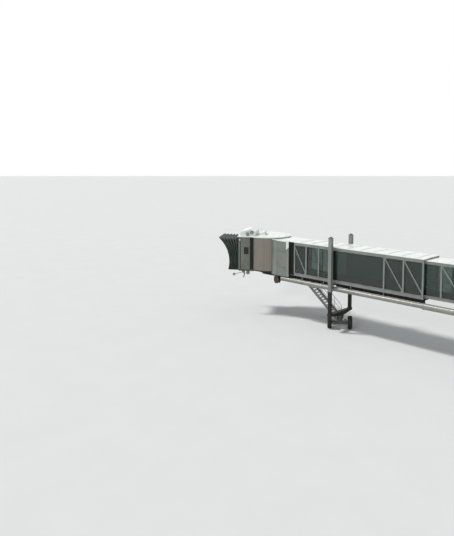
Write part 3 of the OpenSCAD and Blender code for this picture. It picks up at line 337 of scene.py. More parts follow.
def share(tree, place, scale, detail, stops, rough=0.5):
    """A soft noise, cut to a share between two stops."""
    cloud = add(tree, "TexNoise", {"Vector": place, "Scale": scale, "Detail": detail, "Roughness": rough}, "Fac")
    return add(tree, "ValToRGB", {"Fac": cloud}, "Color", stops)


def clouded(tree, place, below, above, scale, detail, stops, rough=0.5):
    """One colour over another, shown by a share of noise."""
    return add(tree, "Mix", {0: share(tree, place, scale, detail, stops, rough), 6: below, 7: above}, **MIX)


def grained(tree, place, scale, detail, strength, distance):
    """Relief of a fine noise."""
    fine = add(tree, "TexNoise", {"Vector": place, "Scale": scale, "Detail": detail}, "Fac")
    return add(tree, "Bump", {"Strength": strength, "Distance": distance, "Height": fine}, "Normal")


def weathered(colour, shade, dirt, rough=0.42, metallic=0.0, streak=0.35, sheen=0.5, ribs=0.0):
    """Sheet or section with a factory finish, outdoors for years.
    Large soft patches of a second shade, rain streaks that are narrow across and long down the face, and a
    grain of 3 mm in the bump. Ribs is the pitch in metres of faint upright press ribs along X, drawn only as dark
    lines of painted shade."""
    def build(tree, place):
        tone = clouded(tree, place, colour, shade, 1 / 0.9, 4.0, [(0.35, 0.0), (0.7, 1.0)], 0.6)
        down = add(tree, "Mapping", {"Vector": place, "Scale": (1 / 0.045, 1 / 0.045, 1 / 1.1)}, "Vector")
        rain = share(tree, down, 1.0, 5.0, [(0.52, 0.0), (0.74, 1.0)], 0.55)
        rain = add(tree, "Math", {0: rain, 1: streak}, 0, operation="MULTIPLY")
        dust = share(tree, place, 14.0, 6.0, [(0.55, 0.0), (0.8, 0.5)], 0.7)
        marks = add(tree, "Math", {0: rain, 1: dust}, 0, operation="MAXIMUM")
        base = add(tree, "Mix", {0: marks, 6: tone, 7: dirt}, **MIX)
        # The press ribs have no relief: each is a dark line of painted shade
        if ribs:
            x = add(tree, "SeparateXYZ", {"Vector": place}, "X")
            wave = add(tree, "Math", {0: x, 1: 2 * math.pi / ribs}, 0, operation="MULTIPLY")
            wave = add(tree, "Math", {0: wave}, 0, operation="SINE")
            line = add(tree, "ValToRGB", {"Fac": wave}, "Color", [(0.9, 0.0), (1.0, 0.25)])
            base = add(tree, "Mix", {0: line, 6: base, 7: "#5C625D"}, **MIX)
        gloss = add(tree, "MapRange", {"Value": marks, "To Min": rough - 0.06, "To Max": min(1.0, rough + 0.22)}, 0)
        return {"Metallic": metallic, "Specular IOR Level": sheen, "Base Color": base, "Roughness": gloss,
                "Normal": grained(tree, place, 1000 / 3, 2.0, 0.35, 0.0006)}
    return build


def tinted_glass(colour, film="#57625F"):
    """Laminated solar-control glass: green-blue and seen through, with a slight waviness that bends reflections
    and a film of dust in patches. Its tint acts at each face of a pane."""
    def build(tree, place):
        dull = share(tree, place, 5.0, 6.0, [(0.45, 0.01), (0.85, 0.1)], 0.7)
        base = clouded(tree, place, colour, film, 5.0, 6.0, [(0.6, 0.0), (0.9, 0.3)], 0.7)
        return {"IOR": 1.52, "Transmission Weight": 0.97, "Specular IOR Level": 0.15, "Base Color": base,
                "Roughness": dull, "Normal": grained(tree, place, 2.2, 1.0, 0.05, 0.01)}
    return build


def coated_cloth(colour, worn="#48544B"):
    """PVC-coated polyester: a plain weave under a satin skin, with a painted highlight that makes the folds' crests
    paler.
    The weave is drawn at 6 mm so that it shows at this distance. The crests come from the mesh's attribute."""
    def build(tree, place):
        threads = [add(tree, "TexWave", {"Vector": place, "Scale": 1 / 0.006, "Distortion": 0.4}, "Fac",
                       bands_direction=way) for way in ("Z", "DIAGONAL")]
        weave = add(tree, "Math", dict(enumerate(threads)), 0, operation="ADD")
        tone = clouded(tree, place, colour, worn, 1.7, 6.0, [(0.38, 0.0), (0.75, 0.9)], 0.65)
        down = add(tree, "Mapping", {"Vector": place, "Scale": (16, 16, 0.9)}, "Vector")
        base = clouded(tree, down, tone, "#555A52", 1.0, 4.0, [(0.55, 0.0), (0.8, 0.35)])
        crest = add(tree, "Attribute", out="Fac", attribute_name="crest")
        # Painted highlight: the folds' crests are mixed towards a pale green-grey so that they read as lit
        crest_highlight = add(tree, "Math", {0: crest, 1: 0.7}, 0, operation="MULTIPLY")
        base = add(tree, "Mix", {0: crest_highlight, 6: base, 7: "#7C897E"}, **MIX)
        relief = add(tree, "Bump", {"Strength": 0.3, "Distance": 0.001, "Height": weave}, "Normal")
        return {"Roughness": 0.6, "Specular IOR Level": 0.28, "Sheen Weight": 0.03, "Base Color": base,
                "Normal": relief}
    return build


def rubber(colour="#1B1C1B", dusty="#3A3A36", rough=0.75, grain=4.0):
    """Black rubber with a fine moulded grain, in millimetres, and pale dust in soft patches."""
    def build(tree, place):
        base = clouded(tree, place, colour, dusty, 3.0, 7.0, [(0.4, 0.0), (0.8, 0.9)], 0.7)
        return {"Roughness": rough, "Specular IOR Level": 0.35, "Base Color": base,
                "Normal": grained(tree, place, 1000 / grain, 3.0, 0.5, 0.0008)}
    return build


def galvanised(colour="#858986", dark="#777B7C"):
    """Hot-dip galvanised steel: crystals of zinc some 25 mm across in two greys, dulled by weather."""
    def build(tree, place):
        cells = add(tree, "TexVoronoi", {"Vector": place, "Scale": 40.0}, "Color")
        grey = add(tree, "SeparateColor", {"Color": cells})
        tone = add(tree, "Mix", {0: grey.outputs["Red"], 6: colour, 7: dark}, **MIX)
        base = clouded(tree, place, tone, "#6F6B60", 2.4, 6.0, [(0.5, 0.0), (0.8, 0.7)])
        gloss = add(tree, "MapRange", {"Value": grey.outputs["Green"], "To Min": 0.38, "To Max": 0.6}, 0)
        return {"Metallic": 0.75, "Base Color": base, "Roughness": gloss}
    return build


def slat_metal(colour, light="#A09B92", dark="#7A756B"):
    """Anodised aluminium slats in bronze grey: brushed up and down, each slat a little lighter or darker."""
    def build(tree, place):
        hair, down = (add(tree, "Mapping", {"Vector": place, "Scale": scale}, "Vector")
                      for scale in ((260, 260, 2.5), (13, 13, 0.12)))
        tone = clouded(tree, down, dark, light, 1.0, 1.0, [(0.3, 0.0), (0.7, 1.0)])
        base = add(tree, "Mix", {0: 0.62, 6: tone, 7: colour}, **MIX)
        base = clouded(tree, place, base, "#625D52", 1.3, 7.0, [(0.55, 0.0), (0.9, 0.45)], 0.7)
        return {"Metallic": 0.95, "Roughness": 0.38, "Base Color": base,
                "Normal": grained(tree, hair, 1.0, 3.0, 0.2, 0.0005)}
    return build


def deck_rubber(colour="#3D4142", dirt="#5A564D"):
    """Studded rubber flooring: round studs 25 mm across on a 35 mm grid, scuffed grey in soft patches."""
    def build(tree, place):
        studs = add(tree, "TexVoronoi", {"Vector": place, "Scale": 1 / 0.035, "Randomness": 0.0}, "Distance")
        height = add(tree, "ValToRGB", {"Fac": studs}, "Color", [(0.3, 1.0), (0.42, 0.0)])
        base = clouded(tree, place, colour, dirt, 3.5, 8.0, [(0.45, 0.0), (0.8, 0.9)], 0.72)
        relief = add(tree, "Bump", {"Strength": 0.5, "Distance": 0.002, "Height": height}, "Normal")
        return {"Roughness": 0.7, "Base Color": base, "Normal": relief}
    return build


def lamp_glass(colour="#B4BDBF"):
    """Ribbed lens of a flood lamp, switched off: pale and glossy, with fine level ribs in its relief."""
    def build(tree, place):
        ribs = add(tree, "TexWave", {"Vector": place, "Scale": 1 / 0.02}, "Fac", bands_direction="Z")
        base = clouded(tree, place, colour, "#A7A698", 22.0, 5.0, [(0.5, 0.0), (0.8, 0.5)])
        relief = add(tree, "Bump", {"Strength": 0.4, "Distance": 0.003, "Height": ribs}, "Normal")
        return {"Roughness": 0.12, "Transmission Weight": 0.35, "IOR": 1.5, "Base Color": base, "Normal": relief}
    return build


def studio_floor():
    """Pale studio floor with a very faint mottling."""
    def build(tree, place):
        mottle = add(tree, "TexNoise", {"Vector": place, "Scale": 0.35, "Detail": 4.0}, "Fac")
        return {"Roughness": 0.85, "Base Color": add(tree, "Mix", {0: mottle, 6: "#D9DAD8", 7: "#DFE0DE"}, **MIX)}
    return build


# Each finish by name: its recipe gets the colour settings
RECIPES = {
    # Coil-coated steel sheet, near white, streaked grey by rain and exhaust
    "roof_coated_sheet": lambda s: weathered(s.roof, "#E2E7E1", "#A8A89C", 0.36, streak=0.3),
    # Powder-coated steel sections, mid grey
    "grey_powder_coat": lambda s: weathered(s.frame, "#777C78", "#55544C", 0.4, streak=0.5),
    # Terminal panels, pale grey, pressed with ribs drawn as dark lines of painted shade
    "pale_panel": lambda s: weathered("#B9BCBA", "#A9ADAA", "#77766D", 0.42, streak=0.4, ribs=0.3),
    # Dark chassis paint, dusty in patches
    "chassis_paint": lambda s: weathered(s.chassis, "#2E2C28", "#4A4436", 0.6, streak=0.25, sheen=0.2),
    # Green-grey insulated panels of the closed box
    "box_panel": lambda s: weathered(s.box, "#6F766F", "#4D5149", 0.4, streak=0.55),
    # Grey-green painted panels of the cab
    "cab_panel": lambda s: weathered(s.cab, "#666A62", "#46463E", 0.42, streak=0.5),
    # Dark green bogie paint with road dirt
    "bogie_paint": lambda s: weathered("#3F473F", "#4A5148", "#6A6252", 0.5, streak=0.35),
    # Wheel rims in light grey paint
    "rim_paint": lambda s: weathered("#A3A6A2", "#8F928D", "#55524A", 0.45, streak=0.5),
    # Brown primer of the hoist, oily
    "hoist_paint": lambda s: weathered("#40302A", "#33261F", "#211B17", 0.48, streak=0.6),
    # Aluminium jacket of the air pipe, dull grey
    "pipe_jacket": lambda s: weathered(s.pipe, "#7F7F77", "#5C5A51", 0.4, 0.1, streak=0.45),
    # White flashing and lamp lenses
    "white_trim": lambda s: weathered("#DDE2DC", "#CBD0CA", "#8E8C80", 0.38, streak=0.5),
    # Lighter edge panels of the closed box
    "box_edge_panel": lambda s: weathered("#868B84", "#7A8079", "#575B53", 0.4, streak=0.5),
    # Steel straps round the pipe's jacket
    "pipe_strap": lambda s: weathered("#A9AAA1", "#94958C", "#6C6A60", 0.4, 0.4, streak=0.5),
    # Opal acrylic of the light strips, switched off
    "light_diffuser": lambda s: weathered("#E6E8E4", "#DADCD8", "#B9B8AE", 0.3, streak=0.05),
    # Near-black paint of the lamps' rims, and of the end frame, where the near-black is painted shade of the recess
    # beside the closed box
    "black_paint_and_recess_shade": lambda s: weathered("#10120F", "#181A17", "#2C2A24", 0.65, streak=0.25, sheen=0.15),
    # Ceiling and inner panels, pale cream laminate
    "lining": lambda s: weathered("#C9C8BF", "#BDBCB2", "#9A978A", 0.5, streak=0.1),
    # Glass of the tunnels, and the darker glass of the cab
    "tunnel_glass": lambda s: tinted_glass(s.glass),
    "cab_glass": lambda s: tinted_glass("#2E3836"),
    # Cloth of the canopy, its near-black bolster and the grey seal
    "canopy_cloth": lambda s: coated_cloth(s.canopy),
    "pad_cloth": lambda s: coated_cloth("#1E2321", "#3A423E"),
    "seal_cloth": lambda s: coated_cloth("#3A3F3B", "#50564F"),
    # Rubber of brushes and fenders, of tyres with road dust, and of smooth gaskets
    "black_rubber": lambda s: rubber(),
    "tyre_rubber": lambda s: rubber("#1E1E1D", "#45423B", 0.82, 6.0),
    "gasket_rubber": lambda s: rubber("#151615", "#2A2A27", 0.6, 2.0),
    # Zinc-coated stair and rails, and duller bolts
    "zinc_steel": lambda s: galvanised(),
    "bolt_zinc": lambda s: galvanised("#8C8F8E", "#7A7E80"),
    "slat_metal": lambda s: slat_metal(s.slat),
    "deck_rubber": lambda s: deck_rubber(),
    "lamp_glass": lambda s: lamp_glass(),
    "studio_floor": lambda s: studio_floor(),
}
MATERIALS = {}


def finish(name):
    """The material of that name, made by its recipe when it is first asked for."""
    if name not in MATERIALS:
        material = MATERIALS[name] = bpy.data.materials.new(name)
        material.use_nodes = True
        tree = material.node_tree
        tree.nodes.clear()
        place = add(tree, "TexCoord", out="Object")
        shader = add(tree, "BsdfPrincipled", RECIPES[name](bpy.context.scene.bridge_colours)(tree, place), 0)
        add(tree, "OutputMaterial", {"Surface": shader})
    return MATERIALS[name]


NODE_FINISH = {
    "chassis_paint": ("pedestal_column", "outer_underframe", "cab_turntable", "lift_tubes", "cross_beam", "cab_lamps"),
    "deck_rubber": ("rotunda_floor", "inner_floor", "outer_floor", "cab_floor"),
    "roof_coated_sheet": ("rotunda_roof", "inner_roof", "outer_roof", "transition_roof", "cab_roof", "cab_hood"),
    "pale_panel": ("terminal_portal",),
    "slat_metal": ("rotunda_curtains", "cab_curtains"),
    "grey_powder_coat": ("swing_frame", "inner_near_side", "inner_far_side", "outer_near_side", "outer_far_side",
                         "lift_housings", "auto_leveller"),
    "seal_cloth": ("tunnel_seal",),
    "tunnel_glass": ("inner_glass", "outer_glass"),
    "pipe_jacket": ("inner_pipe", "outer_pipe"),
    # The end frame is painted near-black as the shade of its recess
    "black_paint_and_recess_shade": ("tunnel_end_frame",),
    "box_panel": ("transition_walls", "service_door"),
    "hoist_paint": ("cable_hoist",),
    "zinc_steel": ("stair_landing", "landing_rail", "stair_stringers", "stair_treads", "stair_handrails"),
    "bogie_paint": ("bogie_frame",),
    "tyre_rubber": ("left_tyre", "right_tyre"),
    "rim_paint": ("left_rim", "right_rim"),
    "cab_panel": ("cab_walls", "cab_front_frame"),
    "cab_glass": ("cab_window",),
    "black_rubber": ("cab_bumper", "canopy_pad"),
    "canopy_cloth": ("canopy_folds",),
}


# Settings

def colour_property(name, description, value):
    """A colour setting, with its default given as an sRGB hex value."""
    return bpy.props.FloatVectorProperty(name=name, description=description, subtype="COLOR", size=4, min=0.0,
                                         max=1.0, default=linear(value))


def size_property(name, description, value, low, high):
    """A length setting in metres."""
    return bpy.props.FloatProperty(name=name, description=description, default=value, min=low, max=high,
                                   subtype="DISTANCE", unit="LENGTH")


class BridgeColours(bpy.types.PropertyGroup):
    """Colours of the finishes"""

    roof: colour_property("Roof", "Colour of the coated roof sheet", "#F0F4EF")
    frame: colour_property("Frame", "Colour of posts, rails and columns", "#858A86")
    chassis: colour_property("Chassis", "Colour of the dark steelwork", "#24221F")
    box: colour_property("Closed box", "Colour of the closed box's panels", "#7B817A")
    cab: colour_property("Cab", "Colour of the cab's panels", "#7D8075")
    pipe: colour_property("Pipe", "Colour of the air pipe", "#8E8E86")
    glass: colour_property("Glass", "Tint of the tunnel glass", "#879993")
    canopy: colour_property("Canopy", "Colour of the canopy's cloth", "#29332D")
    slat: colour_property("Slats", "Colour of the rolling slats", "#8F8A80")


class BridgeSizes(bpy.types.PropertyGroup):
    """Sizes and counts of the trim"""

    slat: size_property("Slat width", "Width of one curtain slat", 0.085, 0.04, 0.2)
    pleats: bpy.props.IntProperty(name="Pleats", description="Number of folds of the canopy", default=6, min=4,
                                  max=16)
    seal_folds: bpy.props.IntProperty(name="Seal folds", description="Number of folds of the tunnel seal",
                                      default=4, min=2, max=8)
    seam: size_property("Roof seam", "Height of the roof's standing seams", 0.03, 0.01, 0.06)
    gasket: size_property("Gasket", "Width of the glazing gaskets", 0.022, 0.01, 0.05)


def post_places(tunnel):
    """Distances of a tunnel's posts from the origin."""
    if tunnel == "outer":
        return np.array([MOUTH + POST, MOUTH + BAY, MOUTH + 2 * BAY, OUTER_END - 2 * END_BAY, OUTER_END - END_BAY,
                         OUTER_END - POST])
    # The inner tunnel's posts stand a bay apart, back from 1.3 m inside the outer tunnel's mouth
    first = MOUTH - 1.3
    count = int((first - INNER_START - 2 * POST) / BAY)
    return np.array([INNER_END - POST, *(first - i * BAY for i in range(count + 1)), INNER_START + POST])


class BRIDGE_OT_stage(bpy.types.Operator):
    """Pale floor, soft studio light and the camera at the photograph's angle"""

    bl_idname = "bridge.stage"
    bl_label = "Stage"

    def execute(self, context):
        scene = context.scene
        # Camera: level turn, slight tilt down and the same framing as the photograph
        ahead, right = Vector((-0.714, 0.700, 0)), Vector((0.700, 0.714, 0)).normalized()
        tilt = math.radians(4.941)
        look = (ahead * math.cos(tilt) - Vector(UP) * math.sin(tilt)).normalized()
        camera = bpy.data.objects.new("camera", bpy.data.cameras.new("camera"))
        scene.collection.objects.link(camera)
        scene.camera = camera
        # The photograph is 454 by 536 pixels; its level line runs 207.4 pixels from the top
        camera.data.sensor_width = 36
        camera.data.lens = 560 / 536 * 36
        camera.data.shift_y = -(268 - 207.4) / 536
        camera.data.clip_end = 500
        turn = Matrix((right, right.cross(look), -look)).transposed().to_4x4()
        camera.matrix_world = Matrix.Translation((7.62, -41.8, 15.2)) @ turn
        size = 3000.0
        floor = piece("floor", ([(-size, -size, 0), (size, -size, 0), (size, size, 0), (-size, size, 0)],
                                [[0, 1, 2, 3]]), "studio_floor")
        # Light: a wide sun from the far left, a weak one from the near left and a pale sky
        for name, energy, angle, way in (("key", 2.45, 10, (0.62, 0.42, -1.0)),
                                         ("fill", 0.55, 8, (-0.20, 0.98, -0.45))):
            sun = bpy.data.objects.new(name, bpy.data.lights.new(name, "SUN"))
            sun.data.energy = energy
            sun.data.angle = math.radians(angle)
            sun.rotation_euler = Vector(way).to_track_quat("-Z", "Y").to_euler()
            scene.collection.objects.link(sun)
        world = bpy.data.worlds.new("studio")
        scene.world = world
        world.use_nodes = True
        tree = world.node_tree
        tree.nodes.clear()
        # The camera, reflections and glass see a white room; what lights the bridge is softer
        path = add(tree, "LightPath").outputs
        seen = add(tree, "Math", {0: path["Is Camera Ray"], 1: path["Is Glossy Ray"]}, 0, operation="MAXIMUM")
        seen = add(tree, "Math", {0: seen, 1: path["Is Transmission Ray"]}, 0, operation="MAXIMUM")
        soft = add(tree, "Background", {"Color": "#E9EEF2", "Strength": 0.42}, 0)
        white = add(tree, "Background", {"Color": (1, 1, 1, 1), "Strength": 1.0}, 0)
        add(tree, "OutputWorld", {"Surface": add(tree, "MixShader", {0: seen, 1: soft, 2: white}, 0)})
        scene.view_settings.view_transform = "Standard"
        return {"FINISHED"}


class BRIDGE_OT_finishes(bpy.types.Operator):
    """Gives every CAD node its material"""

    bl_idname = "bridge.finishes"
    bl_label = "Finishes"

    def execute(self, context):
        for name, nodes in NODE_FINISH.items():
            for node in nodes:
                obj = frame["nodes"][node]
                obj.data.materials.clear()
                obj.data.materials.append(finish(name))
        return {"FINISHED"}


class BRIDGE_OT_glazing(bpy.types.Operator):
    """Black gaskets round the tunnels' panes, and the hand rails inside"""

    bl_idname = "bridge.glazing"
    bl_label = "Tunnel glazing"

    def execute(self, context):
        g = context.scene.bridge_sizes.gasket
        outline = [(-g / 2, 0), (g / 2, 0), (g / 2, 0.006), (g / 4, 0.012), (-g / 4, 0.012), (-g / 2, 0.006)]
        for tunnel, y, low, high in TUNNELS:
            posts = np.sort(post_places(tunnel))
            left, right = posts[:-1] + POST, posts[1:] - POST
            glass = y - 0.075
            lines = [(at(-left, -glass, z), at(-right, -glass, z)) for z in (low + g / 2, high - g / 2)]
            lines += [(at(-x, -glass, low), at(-x, -glass, high)) for x in (left + g / 2, right - g / 2)]
            strips = carried(outline, *(np.concatenate(ends) for ends in zip(*lines)), NEAR)
            piece(tunnel + "_gaskets", mirrored(strips), "gasket_rubber", tunnel + "_tunnel", smooth=30)
            # A hand rail on brackets; in the outer tunnel it starts where the inner one never reaches
            rail_y = glass - 0.10
            first = posts[0] if tunnel == "inner" else INNER_END + REACH
            held = posts if tunnel == "inner" else np.array([first + 0.1, posts[-1]])
            rail = tube(at(-np.linspace(posts[-1], first, 3), -rail_y, FLOOR + 1.05), 0.021, 16)
            foot = at(-held, -rail_y, FLOOR + 1.03)
            clips = carried(rounded(0.03, 0.012, 0.004), foot, foot - [0, 0.088, 0.03], UP)
            piece(tunnel + "_inner_rail", mirrored(joined([rail, clips])), "zinc_steel", tunnel + "_tunnel",
                  smooth=40)
        return {"FINISHED"}


class BRIDGE_OT_tunnel_trim(bpy.types.Operator):
    """Standing seams on the roofs, joint covers on fascias and rails, and bolts in the gusset plates"""

    bl_idname = "bridge.tunnel_trim"
    bl_label = "Tunnel trim"

    def execute(self, context):
        # The camber is followed by two straight seams that meet on the middle line
        outer = context.scene.bridge_sizes.seam
        for tunnel, h, start, end, y, low, rise, step in (
                ("outer", outer, MOUTH + 0.02, OUTER_END - 0.02, 1.272, 7.52, 0.03, 1.4),
                ("inner", 0.02, INNER_START + 0.9, INNER_END - 0.02, 1.098, 7.398, 0.012, 1.7)):
            shrink = h / outer
            foot, neck = 0.006 * shrink, 0.010 * shrink
            seam = [(-0.018, 0), (0.018, 0), (0.018, foot), (0.006, neck), (0.006, h), (-0.006, h), (-0.006, neck),
                    (-0.018, foot)]
            count = int((end - start) / step) + 1
            d = start + (np.arange(count) + 0.5) * (end - start) / count
            part = carried(seam, at(-d, -y, low), at(-d, 0, low + rise), UP)
            piece(tunnel + "_roof_seams", mirrored(part), "roof_coated_sheet", tunnel + "_tunnel")
        # Joint covers on the fascia and the bottom rail at every post
        d = post_places("outer")[1:-1]
        covers = [carried(strip(0.035, 0.030, 0.005), at(-d, -y, low), at(-d, -y, high), NEAR)
                  for y, low, high in ((1.284, 7.262, 7.45), (1.268, 4.402, 4.618))]
        piece("outer_joint_covers", mirrored(joined(covers)), "grey_powder_coat", "outer_tunnel")
        # Bolts: four on each post's foot and head
        for tunnel, y, low, high in TUNNELS:
            grid = [(dx, z) for dx in (-0.04, 0.04) for z in (low + 0.04, low + 0.12, high - 0.04, high - 0.12)]
            centres = np.array([(-p + dx, -y, z) for p in post_places(tunnel) for dx, z in grid])
            piece(tunnel + "_post_bolts", mirrored(bolts(centres, NEAR, 0.02)), "bolt_zinc", tunnel + "_tunnel")
        return {"FINISHED"}


class BRIDGE_OT_roofing(bpy.types.Operator):
    """Seams, caps and upstand covers of the rotunda's and the cab's roofs, and the hood's rivets"""

    bl_idname = "bridge.roofing"
    bl_label = "Rotunda and cab roofs"

    def execute(self, context):
        # Radial seams of the rotunda's low cone, from a cap to the upstand
        t = np.arange(20) * 2 * math.pi / 20 + 0.08
        way = at(np.cos(t), np.sin(t), 0)
        slope = 0.09 / 2.3
        inner, outer = (way * r + [0, 0, 7.73 - r * slope] for r in (0.34, 2.262))
        seams = carried([(-0.012, -0.01), (0.012, -0.01), (0.008, 0.022), (-0.008, 0.022)], inner, outer, UP)
        cap = turned([(0.001, 7.715), (0.36, 7.715), (0.36, 7.735), (0.30, 7.765), (0.12, 7.785), (0.001, 7.787)],
                     (0, 0, 0), UP, 48)
        piece("rotunda_roof_seams", joined([seams, cap]), "roof_coated_sheet", "pedestal", smooth=40)
        # Joints of the cab's round roof, across the cab's own way and clear of the hood and the cooling unit
        a = np.arange(-1.75, 0.2, 0.62)
        half = np.sqrt(2.2 ** 2 - a ** 2)
        joint = [(-0.02, 0), (0.02, 0), (0.02, 0.004), (0.005, 0.006), (0.005, 0.022), (-0.005, 0.022),
                 (-0.005, 0.006), (-0.02, 0.004)]
        piece("cab_roof_seams", carried(joint, cab_at(a, -half, 7.689), cab_at(a, half, 7.689), UP),
              "roof_coated_sheet", "cab")
        # Rivets along the hood's foot and the cooling unit's louvres
        side = cab_at(0, 1, 0) - cab_at(0, 0, 0)
        heads = [turned([(0.001, 0), (0.014, 0), (0.010, 0.007), (0.001, 0.009)],
                        cab_at(np.linspace(1.16, 2.6, 13), s * 1.3201, 7.76), s * side, 8) for s in (-1, 1)]
        piece("hood_rivets", joined(heads), "bolt_zinc", "cab", smooth=50)
        z = 7.74 + 0.035 * np.arange(6)
        louvre = [(0, 0), (0.004, 0.02), (-0.016, 0.004), (-0.018, -0.004)]
        piece("cooler_louvres", carried(louvre, cab_at(0.246, 0.45, z), cab_at(0.246, -0.45, z), UP),
              "roof_coated_sheet", "cab")
        return {"FINISHED"}


class BRIDGE_OT_curtains(bpy.types.Operator):
    """Rolling slat curtains of the cab and the rotunda, with their roller housings"""

    bl_idname = "bridge.curtains"
    bl_label = "Slat curtains"

    def slats(self, centre, radius, a0, a1, low, width):
        """Slats side by side on a circle: the outer radius dips at each joint by a rounded groove,
        r = radius - depth * (1 - |sin(pi * s / width)|) ^ 3, and a plain inner face closes the sheet."""
        count = max(2, round(radius * abs(a1 - a0) / width))
        t = np.linspace(0, 1, count * 8 + 1)
        outer = radius - 0.001 - 0.016 * (1 - np.abs(np.sin(math.pi * count * t))) ** 3
        inner = np.full(len(t), radius - 0.028)
        return swept_band(centre, a0 + (a1 - a0) * t,
                          ((inner, low), (outer, low), (outer, CURTAIN_HEAD), (inner, CURTAIN_HEAD)))

    def blend(self, bodies, centre, radius, angles):
        """A blend's two bodies, and the points of the curtain's ends at mid height."""
        return (*bodies, *((centre[0] + radius * math.cos(a), centre[1] + radius * math.sin(a), 6.0)
                           for a in angles))

    def execute(self, context):
        width = context.scene.bridge_sizes.slat
        # The cab's curtains run from the closed box's walls to the cab's side walls
        edge = math.asin(WALL / (CURTAIN_R - 0.03)) + 0.0005
        side = math.acos(1.25 / CURTAIN_R) + 0.0005
        rim = CURTAIN_R - 0.004
        for name, a0, a1 in (("far", edge, math.pi + CAB_TURN - side), ("near", -edge, CAB_TURN + side - math.pi)):
            blend = self.blend(("outer_tunnel", "cab"), PIVOT, CURTAIN_R, (a0, a1))
            piece("cab_curtain_" + name, self.slats(PIVOT, CURTAIN_R, a0, a1, 4.402, width), "slat_metal",
                  smooth=50, blend=blend, replaces="cab_curtains")
            # Rubber hem under the slats, which closes the gap to the floor's own brush
            hem = swept_band(PIVOT, np.linspace(a0, a1, 73), ((1.993, 4.374), (rim, 4.374), (rim, 4.4015),
                                                              (1.993, 4.4015)))
            piece("cab_hem_" + name, hem, "black_rubber", blend=blend)
        edge = math.asin(WALL / (ROTUNDA_R - 0.03)) + 0.0005
        for name, sign in (("far", 1), ("near", -1)):
            a0, a1 = sign * edge, sign * (math.pi - edge)
            piece("rotunda_curtain_" + name, self.slats((0, 0), ROTUNDA_R, a0, a1, 4.602, width), "slat_metal",
                  smooth=50, replaces="rotunda_curtains",
                  blend=self.blend(("pedestal", "swing"), (0, 0), ROTUNDA_R, (a0, a1)))
        # Roller housings: upright half-round cases at the fixed ends of the cab's curtains
        x = -27.12
        t = np.linspace(-math.pi / 2, math.pi / 2, 13)
        case = np.concatenate([[(-0.29, -0.001)], np.stack([0.25 * np.sin(t), 0.045 * np.cos(t)], 1),
                               [(0.29, -0.001)]])[::-1]
        housing = carried(case, (x, -WALL, BOX_FOOT), (x, -WALL, 7.47), NEAR)
        z = np.array([4.2, 5.3, 6.4, 7.38])
        bands = carried(case * [1.02, 1.25], at(x, -WALL, z), at(x, -WALL, z + 0.04), NEAR)
        piece("cab_roller_housings", joined([housing, bands]), "box_edge_panel", "outer_tunnel",
              smooth=35)
        return {"FINISHED"}


